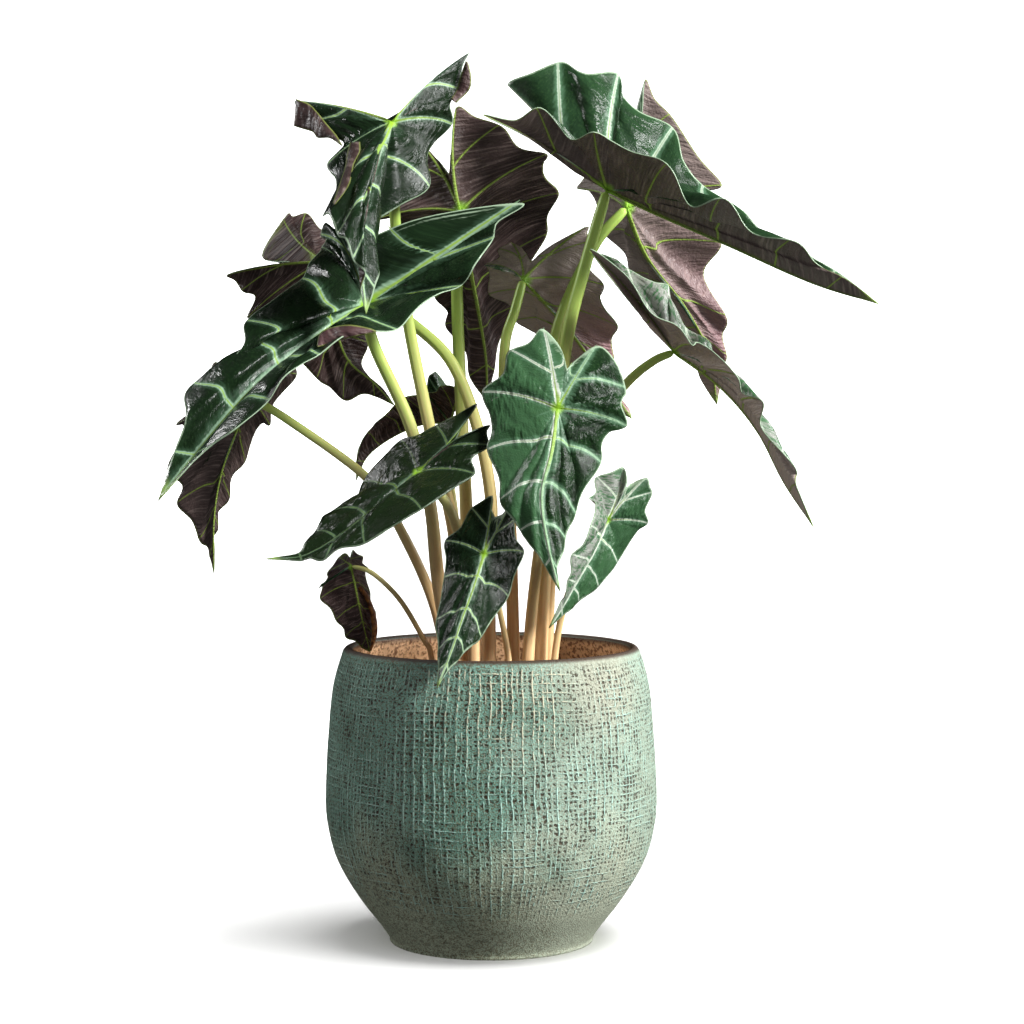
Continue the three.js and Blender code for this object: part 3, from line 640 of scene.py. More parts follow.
def painted(tree, ground, layers):
    """Lays colours over a ground. Each layer is its hex colour, the value that says where it lies,
    the value where it starts and the one where it is full, and how much of it covers there."""
    for colour, value, start, full, most in layers:
        share = add(tree, "MapRange", [value, start, full, 0.0, most], interpolation_type="SMOOTHSTEP")[0]
        ground = add(tree, "Mix", {0: share, 6: ground, 7: linear(colour)}, data_type="RGBA")[2]
    return ground


# %% Upper skin: waxy green with pale veins, painted light and painted shade
upper_skin, tree, shader = new_material("waxy leaf, upper side")
place, reach, heart, tip = vein_nodes(tree)
# each leaf's gap to the edge, its painted light and its painted shade
gap, painted_light, painted_shade = (
    add(tree, "Attribute", attribute_name=name)["Fac"] for name in (EDGE_GAP, PAINTED_LIGHT, PAINTED_SHADE))
grain = speckle(tree, place, 120.0)
patches = speckle(tree, place, 9.0)
feather = speckle(tree, place, 60.0, (2.2, 1.0, 1.0), 2.0)
wisps = speckle(tree, place, 42.0, (0.4, 1.7, 1.0))
rough = add(tree, "Math ADD", [feather, grain])[0]
ragged = add(tree, "Math MULTIPLY_ADD", [rough, 1.4, reach])[0]
ragged_gap = add(tree, "Math MULTIPLY_ADD", [grain, 1.2, gap])[0]
veil = add(tree, "Math MULTIPLY_ADD", [wisps, -12.0, ragged])[0]
# painted sheen: grey streaks of reflected light, and veins painted whiter, where a leaf has painted light
painted_sheen = add(tree, "Math ADD", [patches, wisps])[0]
painted_sheen = add(tree, "Math MULTIPLY", [painted_light, painted_sheen])[0]
white = add(tree, "MapRange", [ragged, 3.2, 2.3, 0.0, painted_light])[0]
# on leaves with painted shade the lime midrib reaches farther from the stalk
away = add(tree, "MapRange", [painted_shade, 0.0, 0.4, 2.2, 0.45])[0]
lime = add(tree, "Math MULTIPLY_ADD", [heart, away, reach])[0]
flesh = painted(tree, linear("#0a150b"), (
    ("#182d18", patches, 0.3, 0.72, 1.0),
    # painted light: paler green flesh on lit halves
    ("#4d7851", painted_light, 0.0, 1.0, 0.65),
    ("#36522f", grain, 0.46, 0.74, 0.5),
    ("#3a5c3a", gap, 9.0, 1.0, 0.3),
    ("#48694a", ragged, 7.5, 2.4, 0.45),
    ("#5c8064", veil, 2.0, -3.5, 0.5),
    # painted sheen in grey streaks
    ("#858780", painted_sheen, 0.86, 1.08, 0.9),
    # painted shade: darker flesh on shaded leaves
    ("#111c10", painted_shade, 0.0, 0.6, 0.75),
    ("#8aa88c", ragged, 3.6, 2.2, 0.95),
    # veins painted whiter as painted light
    ("#bcc4b6", white, 0.0, 0.5, 1.0),
    ("#6f8f60", reach, 0.55, 0.15, 0.6),
    ("#86a43e", lime, 1.0, 0.4, 0.85),
    ("#9db397", ragged_gap, 2.2, 1.3, 0.85),
    # painted shade again, over the veins of shaded leaves
    ("#152010", painted_shade, 0.5, 1.0, 0.72),
    ("#8da957", tip, 0.08, 0.02, 0.8),
    ("#86b32c", heart, 0.05, 0.012, 0.95),
))
gloss = add(tree, "MapRange", [patches, 0.35, 0.65, 0.34, 0.17])[0]
pleats = speckle(tree, place, 14.0, (2.6, 1.1, 1.0), 1.0)
pleated = add(tree, "MapRange", [speckle(tree, place, 5.0), 0.42, 0.6, 0.8, 6.0])[0]
height = add(tree, "Math MULTIPLY_ADD", [pleats, pleated, grain])[0]
bump = add(tree, "Bump", {"Height": height, "Strength": 0.5, "Distance": 0.0007})[0]
feed(shader, {"Base Color": flesh, "Roughness": gloss, "IOR": 1.48, "Normal": bump})

# %% Underside: purple-brown with lime veins, painted sheen, painted light and painted backlight
under_skin, tree, shader = new_material("satin leaf, underside")
place, reach, heart, tip = vein_nodes(tree)
gap, painted_light, red_and_backlight = (
    add(tree, "Attribute", attribute_name=name)["Fac"] for name in (EDGE_GAP, PAINTED_LIGHT, RED_AND_BACKLIGHT))
grain = speckle(tree, place, 90.0)
patches = speckle(tree, place, 6.0)
# painted sheen: streaks of satin reflection
streaks = speckle(tree, place, 18.0, (0.35, 4.0, 1.0))
soft_reach = add(tree, "Math MULTIPLY_ADD", [grain, 0.5, reach])[0]
flesh = painted(tree, linear("#281d1b"), (
    ("#4b3b39", patches, 0.3, 0.7, 1.0),
    # painted sheen: paler streaks
    ("#8c7b75", streaks, 0.46, 0.74, 0.7),
    # painted light: a lit underside turns paler grey-brown
    ("#b5a59e", painted_light, 0.0, 1.0, 0.8),
    # painted backlight: a red glow where light would come through; on the curls, their red tone
    ("#98596a", red_and_backlight, 0.0, 1.0, 1.0),
    ("#5a5a2c", soft_reach, 2.6, 0.7, 0.5),
    ("#869f45", soft_reach, 1.1, 0.6, 1.0),
    ("#74803e", gap, 1.3, 0.4, 0.8),
    ("#7fae34", heart, 0.06, 0.02, 0.95),
    ("#849e50", tip, 0.08, 0.02, 0.8),
))
gloss = add(tree, "MapRange", [grain, 0.0, 1.0, 0.28, 0.46])[0]
pleats = speckle(tree, place, 14.0, (0.7, 4.0, 1.0), 2.0)
height = add(tree, "Math MULTIPLY_ADD", [pleats, 3.0, grain])[0]
bump = add(tree, "Bump", {"Height": height, "Strength": 0.7, "Distance": 0.0011})[0]
feed(shader, {"Base Color": flesh, "Roughness": gloss, "IOR": 1.45, "Normal": bump})
print("leaf skins:", upper_skin.name, "|", under_skin.name)

# %% [markdown]
# ## Blades
# A blade is a sheet 0.7 mm thick. It starts as a plain grid whose columns go once round the
# edge, from the notch to the tip and back, and whose rows go out from the stalk. Each vertex is
# moved to its place on the bent pattern, the seam and the pole at the stalk are welded, and
# Solidify gives the sheet its second skin. A box-modelled leaf would lose the pattern's places.

# %% A grid moved into shape
BODY = "root"


def mark(mesh, name, values):
    """Keeps a number for each vertex, for the shaders to read."""
    layer = mesh.verts.layers.float.new(name)
    for vertex, value in zip(mesh.verts, np.ravel(values)):
        vertex[layer] = value


def formed_grid(places, flats=None, marks={}):
    """A bmesh grid moved to places[row][column], with flats as its UV map and its marks."""
    rows, columns = places.shape[:2]
    grid = bmesh.new()
    bmesh.ops.create_grid(grid, x_segments=columns - 1, y_segments=rows - 1, size=0.5)
    grid.verts.index_update()
    if flats is not None:
        flat_layer = grid.loops.layers.uv.new(FLAT_MAP)
        for face in grid.faces:
            for loop in face.loops:
                loop[flat_layer].uv = flats[divmod(loop.vert.index, columns)]
    for vertex, place in zip(grid.verts, places.reshape(-1, 3)):
        vertex.co = place
    for name, values in marks.items():
        mark(grid, name, np.broadcast_to(values, (rows, columns)))
    return grid


def finished(mesh, name, materials, nodes=(), merge=WELD / 2):
    """Welds a bmesh and makes it a piece that rides on the plant's body."""
    bmesh.ops.remove_doubles(mesh, verts=mesh.verts, dist=merge)
    bmesh.ops.dissolve_degenerate(mesh, edges=mesh.edges, dist=merge)
    piece = placed(mesh, name, materials)
    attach(piece, BODY)
    if nodes:
        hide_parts(*nodes)
    return piece


def thicken(piece, thickness):
    """Gives a sheet its second skin, in its last material."""
    skin = piece.modifiers.new("second_skin", "SOLIDIFY")
    skin.thickness = thickness
    skin.offset = 0.0
    skin.material_offset = len(piece.data.materials) - 1


# %% Fifteen blades
BLADE_THICK = 0.7 * MM
ROW_SPACING = 5.5 * MM
FEWEST_ROWS, MOST_ROWS = 18, 46
# leaves whose underside gets a painted red glow for light coming through it, and how far
PAINTED_BACKLIGHT = {"back_centre": 0.7, "back_right": 0.4, "small_rim": 0.15, "back_top": 0.1}
# leaves with painted light on their skin, paler flesh with a grey painted sheen and whiter veins: how far in
# the left and in the right half
PAINTED_LIGHT_HALVES = {
    "front_centre": (0.0, 0.7), "top_right": (0.3, 0.3), "front_low": (0.2, 0.2), "low_right": (0.6, 1.0),
    "edge_right": (1.0, 1.0), "top_left": (0.15, 0.15), "back_centre": (1.0, 0.8),
    "back_right": (0.6, 0.4), "low_left": (0.2, 0.2), "back_top": (0.12, 0.12),
}
# leaves whose upper side gets painted shade, darker flesh and dimmer veins, and how far
PAINTED_SHADE_LEAVES = {"wide_left": 0.45, "front_left": 1.0, "front_low": 0.5, "top_left": 0.6}

for name, blade in blades.items():
    rows = int(np.clip(blade.length / ROW_SPACING, FEWEST_ROWS, MOST_ROWS))
    share = np.linspace(0, 1, rows + 1)[:, None]
    across, along = share * blade.across, share * blade.along
    left, right = PAINTED_LIGHT_HALVES.get(name, (0.0, 0.0))
    right_half, upper_part = np.clip(0.5 + 2.2 * across, 0, 1), np.clip(0.3 + along, 0, 1)
    grid = formed_grid(blade.point(across, along), np.stack([across, along], -1), {
        RED_AND_BACKLIGHT: PAINTED_BACKLIGHT.get(name, 0.0) * right_half * upper_part,
        PAINTED_LIGHT: np.where(across > 0, right, left),
        PAINTED_SHADE: PAINTED_SHADE_LEAVES.get(name, 0.0),
        EDGE_GAP: blade.edge_gap(across, along) / MM,
        SPREAD: blade.spread(across, along),
    })
    piece = finished(grid, "blade_" + name, (upper_skin, under_skin), ("leaf_" + name,))
    thicken(piece, BLADE_THICK)
    print(piece.name, len(piece.data.polygons), "faces a side")

# %% [markdown]
# ## Veins
# Under the blade the veins stand out as round cords, thick at the stalk and thin at the edge.
# Above it only the midrib and the two lobe ribs rise a little. Each vein is a grid rolled into a
# tube along its line on the pattern, and a leaf's veins are joined in one piece.

# %% Vein tubes
VEIN_SIDES = 8
VEIN_STEP = 6.0 * MM
VEIN_BELOW = 0.5
VEIN_ABOVE = 0.17
VEIN_WIDTH = 0.8
VEIN_END = 0.97
FEWEST_RINGS = 8
FAR_FROM_EDGE = 20.0


def vein_tube(blade, start, end, hand, wide, narrow):
    """Places and flats of a tube round one vein."""
    count = max(FEWEST_RINGS, int(blade.length * math.dist(start, end) / VEIN_STEP))
    share = np.linspace(0, VEIN_END, count)
    across = start[0] + (end[0] - start[0]) * share
    along = start[1] + (end[1] - start[1]) * share - BOW * across * (BOW_REACH - across)
    across = hand * across
    centre = blade.point(across, along)
    upward = blade.upward(across, along)
    sideways = unit(np.cross(upward, unit(np.gradient(centre, axis=0))))
    radius = (wide + (narrow - wide) * share) * blade.length
    radius = radius * np.minimum(1, (1 - share) * 12)
    angle = np.linspace(0, 2 * math.pi, VEIN_SIDES + 1)[None, :, None]
    rise = np.sin(angle)
    main = start == (0.0, 0.0) and abs(end[0]) < 0.2
    above = VEIN_ABOVE if main else 0.0
    bulge = np.where(rise > 0, rise * above, rise * VEIN_BELOW) * radius[:, None, None]
    middle = centre[:, None] + upward[:, None] * bulge
    places = middle + sideways[:, None] * (VEIN_WIDTH * radius[:, None, None] * np.cos(angle))
    flats = np.broadcast_to(np.stack([across, along], -1)[:, None], (count, VEIN_SIDES + 1, 2))
    return places, flats


for name, blade in blades.items():
    veins = bmesh.new()
    for start, end, wide, narrow in VEINS:
        for hand in (1, -1) if end[0] else (1,):
            places, flats = vein_tube(blade, start, end, hand, wide, narrow)
            tube = formed_grid(places, flats, {SPREAD: 1.0, EDGE_GAP: FAR_FROM_EDGE})
            for i, face in enumerate(tube.faces):
                face.material_index = int(i % VEIN_SIDES >= VEIN_SIDES // 2)
            data = bpy.data.meshes.new("vein")
            tube.to_mesh(data)
            tube.free()
            veins.from_mesh(data)
            bpy.data.meshes.remove(data)
    finished(veins, "veins_" + name, (upper_skin, under_skin))
print("veins on", len(blades), "blades")

# %% [markdown]
# ## Curled margins
# Some margins have curled over, so that their purple underside turns to the viewer: the lobes of
# the top left leaf, a turned-up margin of the wide left leaf, and the dry brown margin of the
# small leaf at the pot's rim. Each is a small swelling sheet between two seen lines that lies
# just before its blade. Bending the big sheet itself so sharply would crease its whole half.

# %% Dry leaf skin
dry_skin, tree, shader = new_material("dry leaf margin")
grain = speckle(tree, add(tree, "TexCoord")["Object"], 300.0)
flesh = painted(tree, linear("#5e3418"), (("#a8703c", grain, 0.35, 0.65, 1.0),))
bump = add(tree, "Bump", {"Height": grain, "Strength": 0.5, "Distance": 0.0005})[0]
feed(shader, {"Base Color": flesh, "Roughness": 0.6, "Normal": bump})

# %% Curled margins
FOLD_GAP = 1.2 * MM
FOLD_SWELL = 2.2 * MM
FOLD_FOLLOW = 0.4
FOLD_COLUMNS = 18
FOLD_ROWS = 8
FOLD_THICK = 0.6 * MM
NEAR_POINTS = 8
# each curl: its leaf, its skin, how red it is, and its two long sides as [right, down]
FOLDS = {
    "wide_left_margin": (
        "wide_left", under_skin, 0.15,
        ((317, 346), (320, 334), (330, 328), (349, 325), (368, 328), (376, 331)),
        ((318, 347), (326, 345), (344, 339), (362, 335), (376, 332))),
    "top_left_tip": (
        "top_left", under_skin, 0.05,
        ((296, 99), (309, 104), (318, 113), (326, 123), (336, 135), (342, 145)),
        ((294, 126), (303, 129), (313, 132), (318, 138), (330, 138), (342, 146))),
    "top_left_roll": (
        "top_left", under_skin, 0.0,
        ((350, 143), (347, 155), (345, 168), (339, 186), (333, 203)),
        ((360, 142), (360, 152), (354, 164), (349, 185), (335, 205))),
    "top_left_back": (
        "top_left", under_skin, 0.1,
        ((466, 61), (461, 75), (457, 88), (451, 99)), ((468, 63), (471, 77), (469, 90), (456, 103))),
    "small_rim_margin": (
        "small_rim", dry_skin, 0.0,
        ((358, 588), (366, 600), (371, 618), (372, 636), (370, 650)),
        ((361, 586), (370, 599), (376, 617), (377, 634), (371, 651))),
}
# where on the flat pattern a curl takes its paint from, clear of the painted veins
FOLD_ACROSS = (0.20, 0.32)
FOLD_ALONG = (0.25, 0.37)


def blade_depth(blade, right, down):
    """Depths of the blade's front where the given places are seen."""
    share = np.linspace(0.1, 1, 24)[:, None]
    points = blade.point(share * blade.across, share * blade.along).reshape(-1, 3)
    ray = points - EYE
    away = ray @ FORWARD / PICTURE_DISTANCE
    gaps = np.hypot(right[..., None] - PICTURE_MIDDLE - ray @ RIGHT / away,
                    down[..., None] - PICTURE_MIDDLE + ray @ UPWARD / away)
    nearest = np.argsort(gaps, axis=-1)[..., :NEAR_POINTS]
    return points[nearest, 1].min(axis=-1)


for name, (leaf_name, skin, red, *sides) in FOLDS.items():
    first, second = (smooth_line(side, FOLD_COLUMNS + 1) for side in sides)
    share = np.linspace(0, 1, FOLD_ROWS + 1)[:, None]
    right, down = np.moveaxis(first * (1 - share[..., None]) + second * share[..., None], -1, 0)
    depth = blade_depth(blades[leaf_name], right, down)
    depth = depth.mean(axis=0) * (1 - FOLD_FOLLOW) + depth * FOLD_FOLLOW
    points = seen(right, down, depth - FOLD_GAP - FOLD_SWELL * 4 * share * (1 - share))
    width = np.linalg.norm(points[-1] - points[0], axis=-1)
    across = FOLD_ACROSS[0] + (FOLD_ACROSS[1] - FOLD_ACROSS[0]) * share
    flats = np.stack(np.broadcast_arrays(across, np.linspace(*FOLD_ALONG, FOLD_COLUMNS + 1)), -1)
    edge_gap = np.minimum(share, 1 - share) * width / MM
    curl = formed_grid(points, flats, {RED_AND_BACKLIGHT: red, SPREAD: 1.0, EDGE_GAP: edge_gap})
    thicken(finished(curl, "curl_" + name, (skin,)), FOLD_THICK)
print("curled margins:", len(FOLDS))

# %% [markdown]
# ## Stalks
# Each stalk is round and juicy, thicker at its foot, and turns into the midrib at the blade. It
# is brown and pink with cream streaks near the soil and turns lime green higher up. It is a grid
# rolled round a smooth line, which keeps a UV map for streaks that run along the stalk.

# %% Stalk skin
RISE = "rise"
STALK_COLOURS = (
    (0.12, "#bb8a62"), (0.26, "#dcb484"), (0.42, "#cdb27c"), (0.6, "#c0b478"), (0.72, "#b6b970"),
    (0.84, "#a8bd60"), (0.96, "#aac861"),
)

stalk_skin, tree, shader = new_material("living leaf stalk")
wrap = add(tree, "UVMap", uv_map=FLAT_MAP)[0]
rise = add(tree, "Attribute", attribute_name=RISE)["Fac"]
streaks = speckle(tree, wrap, 1.0, (9.0, 14.0, 1.0))
mottle = speckle(tree, wrap, 1.0, (30.0, 140.0, 1.0))
rise = add(tree, "Math MULTIPLY_ADD", [streaks, 0.28, rise])[0]
ramp = add(tree, "ValToRGB", [rise])["Color"]
stops = ramp.node.color_ramp.elements
stops.remove(stops[1])
stops[0].position, stops[0].color = STALK_COLOURS[0][0], linear(STALK_COLOURS[0][1])
for position, colour in STALK_COLOURS[1:]:
    stops.new(position).color = linear(colour)
cream = add(tree, "Math MULTIPLY_ADD", [rise, -0.8, streaks])[0]
flesh = painted(tree, ramp, (
    ("#d8b98c", cream, 0.2, 0.45, 0.8),
    ("#7a5a38", mottle, 0.55, 0.8, 0.35),
))
bump = add(tree, "Bump", {"Height": streaks, "Strength": 0.35, "Distance": 0.0008})[0]
feed(shader, {
    "Base Color": flesh, "Roughness": 0.36, "IOR": 1.45, "Normal": bump,
    "Subsurface Weight": 0.08, "Subsurface Scale": 0.002,
})

# %% Fifteen stalks
SOIL_LEVEL = 184 * MM
STALK_DEPTH = 20 * MM
STALK_SIDES = 20
STALK_STEP = 5 * MM
ROUGH_POINTS = 60
# a stalk narrows just under its blade and flares at its foot: by how much, and over what length
NECK, NECK_LENGTH = 0.45, 6 * MM
FLARE, FLARE_LENGTH = 0.22, 30 * MM
# shallow grooves along the stalk, and how far from round it is
GROOVES, GROOVE_DEPTH, FLATNESS = 5, 0.035, 0.03
GREEN_HEIGHT = 0.34

for name, blade in blades.items():
    leaf = blade.leaf
    foot = np.array((leaf["foot"][0] * MM, leaf["foot"][1] * MM, SOIL_LEVEL - STALK_DEPTH))
    places = [foot] + [seen(r, d, z * MM) for r, d, z in leaf["stalk"]] + [blade.rib[0]]
    length = run_along(smooth_line(places, ROUGH_POINTS))[-1]
    count = int(length / STALK_STEP)
    line = smooth_line(places, count)
    share = np.linspace(0, 1, count)
    onward = unit(np.gradient(line, axis=0))
    first = unit(np.cross(onward, RIGHT))
    second = np.cross(onward, first)
    thick = np.interp(share, (0, 1), leaf["radius"]) * MM
    thick = thick * (1 - NECK * np.exp(-(1 - share) * length / NECK_LENGTH))
    thick = thick * (1 + FLARE * np.exp(-share * length / FLARE_LENGTH))
    thick[-1] = 0.0
    angle = np.linspace(0, 2 * math.pi, STALK_SIDES + 1)[None, :]
    grooves = GROOVE_DEPTH * np.cos(GROOVES * angle) + FLATNESS * np.cos(2 * angle + share[:, None] * 4)
    radius = thick[:, None] * (1 + grooves)
    ring = first[:, None] * np.cos(angle)[..., None] + second[:, None] * np.sin(angle)[..., None]
    flats = np.stack(np.broadcast_arrays(angle / (2 * math.pi), share[:, None] * length), -1)
    height = (line[:, 2] - SOIL_LEVEL) / GREEN_HEIGHT
    rise = np.clip(0.55 * height + 0.45 * share, 0, 1)
    grid = formed_grid(line[:, None] + ring * radius[..., None], flats, {RISE: rise[:, None]})
    finished(grid, "petiole_" + name, (stalk_skin,), ("stalk_" + name,))
print("stalks:", len(blades))

# %% [markdown]
# ## Pot
# The pot is thrown stoneware. Coarse woven cloth was pressed into the soft clay, so fine ridges
# stand where the gaps between its threads were: bold upright ones in some places, flat ones in
# others. The profile is spun round the axis, and a formula raises the ridges, because the weave
# has to close on itself round the pot.

# %% Pot profile
# outer face from the foot to the lip, then the lip and the inner face, [radius, height] in mm
POT_OUTSIDE = (
    (74, 0), (75, 4), (82, 14), (93.7, 29), (105, 46), (113, 62), (117.8, 79), (120.3, 98),
    (119.6, 128), (117.1, 163), (114.9, 184), (111.2, 200), (107.5, 211),
)
POT_LIP = ((107.5, 211), (105.6, 213.4), (103.4, 214), (101.4, 213.1), (100.4, 210.6))
POT_INSIDE = (
    (100.4, 210.6), (103.6, 200), (107.4, 184), (109.6, 163), (112.1, 128), (112.8, 98),
    (110.3, 80), (105.6, 64), (97.6, 49), (86.4, 34), (72, 20), (56, 13), (30, 12),
)
WARP_THREADS = 96
SIDES_PER_THREAD = 5
WEFT_PITCH = 3.1 * MM
OUTSIDE_ROWS = 176
LIP_ROWS = 8
INSIDE_ROWS = 10


def even_profile(points, rows):
    """A smooth profile with evenly spaced points."""
    line = smooth_line(np.array(points) * MM, 400)
    run = run_along(line)
    at = np.linspace(0, run[-1], rows + 1)
    return np.stack([np.interp(at, run, line[:, k]) for k in (0, 1)], -1)


outline = np.vstack([
    [[0.0, 0.0], [0.04, 0.0]], even_profile(POT_OUTSIDE, OUTSIDE_ROWS),
    even_profile(POT_LIP, LIP_ROWS)[1:], even_profile(POT_INSIDE, INSIDE_ROWS)[1:], [[0.0, 0.012]],
])
pot = spun(outline, WARP_THREADS * SIDES_PER_THREAD)
pot.verts.index_update()
print("pot:", len(pot.verts), "vertices")

# %% [markdown]
# ## Pressed weave
# Warp threads run up the pot and weft threads run round it. Both wander a little. Where a thread
# was pressed deep its ridge is tall, and a slow pattern round the pot says where that is. The
# same numbers go to the shader, so paint and relief agree.

# %% Raise the ridges
RIDGE_HEIGHT = 0.6 * MM
RIDGE_BASE = 0.65
WARP_SHARPNESS, WEFT_SHARPNESS, WEFT_SHARE = 0.17, 0.2, 0.6
# heights between which the cloth was pressed in: where the relief starts and ends, and is whole
PRESSED_FROM = (0.024, 0.046)
PRESSED_TO = (0.206, 0.211)
FRONT = -0.5 * math.pi
PRESSED = "pressed"
UPRIGHT = "upright"
LEVEL = "level"


def smooth_step(value, low, high):
    """0 up to low, 1 from high on, and an even S between them."""
    share = np.clip((value - low) / (high - low), 0, 1)
    return share * share * (3 - 2 * share)


def weave_places(angle, height):
    """Thread counts round the pot and up it, wandering a little as woven threads do."""
    sway = 0.10 * np.sin(40 * height + 2.5 * np.sin(3 * angle)) + 0.05 * np.sin(170 * height + 5 * angle)
    dip = 0.25 * np.sin(4 * angle + 25 * height) + 0.10 * np.sin(17 * angle)
    return angle / (2 * math.pi) * WARP_THREADS + sway, height / WEFT_PITCH + dip


def ridge(count, sharpness):
    """1 at whole counts, falling to 0 between them."""
    gap = np.abs((count + 0.5) % 1 - 0.5)
    return np.exp(-((gap / sharpness) ** 2))


places = np.array([vertex.co for vertex in pot.verts])
angle = np.arctan2(places[:, 1], places[:, 0])
radius = np.hypot(places[:, 0], places[:, 1])
height = places[:, 2]
outer_radius = np.interp(height, [h * MM for _, h in POT_OUTSIDE], [r * MM for r, _ in POT_OUTSIDE])
pressed = smooth_step(height, *PRESSED_FROM) * (1 - smooth_step(height, *PRESSED_TO))
pressed = pressed * (radius > outer_radius - 3 * MM)
warp, weft = weave_places(angle, height)
bold = np.exp(-(((angle - FRONT + 0.1) / 0.55) ** 2 + ((height - 0.16) / 0.055) ** 2))
upright = 0.45 + 0.4 * np.sin(3 * angle + 21 * height + 1.0) * np.sin(8 * angle - 33 * height) + 0.6 * bold
level = 0.5 + 0.5 * np.sin(5 * angle - 37 * height + 2.0) * np.sin(9 * angle + 60 * height) - 0.2 * bold
upright, level = np.clip(upright, 0.1, 1), np.clip(level, 0, 0.9)
upright_ridges = ridge(warp, WARP_SHARPNESS) * upright
level_ridges = ridge(weft / 2, WEFT_SHARPNESS) * level * WEFT_SHARE
push = RIDGE_HEIGHT * pressed * (np.maximum(upright_ridges, level_ridges) - RIDGE_BASE)
for vertex, out in zip(pot.verts, push):
    outward = vertex.co.xy.normalized() * out if out else Vector((0, 0))
    vertex.co.x += outward.x
    vertex.co.y += outward.y
for name, values in ((PRESSED, pressed), (UPRIGHT, upright), (LEVEL, level)):
    mark(pot, name, values)

# %% Thread counts for the shader, and which faces are inside
weave_map = pot.loops.layers.uv.new(FLAT_MAP)
for face in pot.faces:
    centre = face.calc_center_median()
    here = math.atan2(centre.y, centre.x)
    inward = face.normal.x * centre.x + face.normal.y * centre.y < 0 or face.normal.z > 0.9
    face.material_index = 1 if inward and 0.011 < centre.z < 0.212 else 0
    for loop in face.loops:
        turn = (angle[loop.vert.index] - here + math.pi) % (2 * math.pi) - math.pi
        loop[weave_map].uv = weave_places(here + turn, height[loop.vert.index])
print("ridges up to", round(RIDGE_HEIGHT * (1 - RIDGE_BASE) / MM, 2), "mm proud")

# %% [markdown]
# ## Outer glaze
# A matt blue-green reactive glaze has broken over the pressed weave. It is pale where it was
# wiped off the ridges, and the iron-brown clay shows in the pits. It thins to a sandy grey-green
# at the foot and to bare brown at the lip, and a warm cream haze lies on the right shoulder. A
# photograph of the cloth could be wrapped round instead, but it wouldn't follow the ridges.

# %% Threads in the glaze
outer_glaze, tree, shader = new_material("reactive glaze over pressed weave")
place = add(tree, "TexCoord")["Object"]
sand = speckle(tree, place, 1000.0)
grit = speckle(tree, place, 380.0)
cloud = speckle(tree, place, 20.0)
wander = add(tree, "TexNoise", {"Vector": place, "Scale": 170.0, "Detail": 3.0})["Color"]
wander = add(tree, "VectorMath SUBTRACT", [wander, (0.5, 0.5, 0.5)])[0]
weave = add(tree, "UVMap", uv_map=FLAT_MAP)[0]
weave = add(tree, "VectorMath MULTIPLY_ADD", [wander, (0.22, 0.45, 0.0), weave])[0]
counts = add(tree, "SeparateXYZ", [weave])
upright_breaks = speckle(tree, weave, 0.9, (1.0, 0.16, 1.0), 2.0)
level_breaks = speckle(tree, weave, 0.9, (0.25, 1.0, 1.0), 2.0)
upright, level, pressed = (
    add(tree, "Attribute", attribute_name=name)["Fac"] for name in (UPRIGHT, LEVEL, PRESSED))
upright = add(tree, "Math ADD", [upright_breaks, upright])[0]
level = add(tree, "Math ADD", [level_breaks, level])[0]
# each kind of line: its threads, lines for each of them, its width, and the value that says where
# it shows, with where that starts and is full, and its strength there
KINDS = (
    (counts["X"], 1.0, 0.11, upright, 0.75, 1.2, 1.0),
    (counts["X"], 2.0, 0.2, upright_breaks, 0.36, 0.62, 0.7),
    (counts["Y"], 0.5, 0.10, level, 0.9, 1.3, 0.8),
    (counts["Y"], 1.0, 0.2, level_breaks, 0.44, 0.7, 0.5),
)
lines = 0.0
for count, per_thread, width, shows, start, full, strength in KINDS:
    step = add(tree, "Math MULTIPLY", [count, per_thread])[0]
    gap = add(tree, "Math PINGPONG", [step, 0.5])[0]
    line = add(tree, "MapRange", [gap, width, 0.3 * width])[0]
    kept = add(tree, "MapRange", [shows, start, full, 0.0, strength])[0]
    line = add(tree, "Math MULTIPLY", [line, kept])[0]
    lines = add(tree, "Math MAXIMUM", [lines, line])[0]
worn = add(tree, "MapRange", [grit, 0.42, 0.58, 0.12])[0]
lines = add(tree, "Math MULTIPLY", [lines, worn])[0]

# %% Pits between the threads
between = []
for count, per_thread in ((counts["X"], 2.0), (counts["Y"], 1.0)):
    step = add(tree, "Math MULTIPLY", [count, per_thread])[0]
    between.append(add(tree, "Math PINGPONG", [step, 0.5])[0])
pits = add(tree, "Math MULTIPLY", [between[0], between[1]])[0]
for grain, share in ((grit, 1.1), (sand, 0.5), (speckle(tree, place, 75.0, (1.0, 1.0, 0.6)), 0.45)):
    pits = add(tree, "Math MULTIPLY_ADD", [grain, share, pits])[0]
pits = add(tree, "MapRange", [pits, 1.11, 1.32])[0]
bare = add(tree, "Math SUBTRACT", [1.0, lines])[0]
pits = add(tree, "Math MULTIPLY", [pits, bare])[0]
pits = add(tree, "Math MULTIPLY", [pits, pressed])[0]
side, _, high = add(tree, "SeparateXYZ", [place]).values()
filled = add(tree, "MapRange", [high, 0.03, 0.1, 0.45])[0]
pits = add(tree, "Math MULTIPLY", [pits, filled])[0]
lines = add(tree, "Math MULTIPLY", [lines, pressed])[0]

# %% Colours of the glaze
low_cloud = add(tree, "Math MULTIPLY_ADD", [cloud, -0.16, high])[0]
haze = add(tree, "VectorMath DISTANCE", [place, (0.080, -0.080, 0.196)])["Value"]
shoulder = add(tree, "VectorMath DISTANCE", [place, (0.02, -0.112, 0.205)])["Value"]
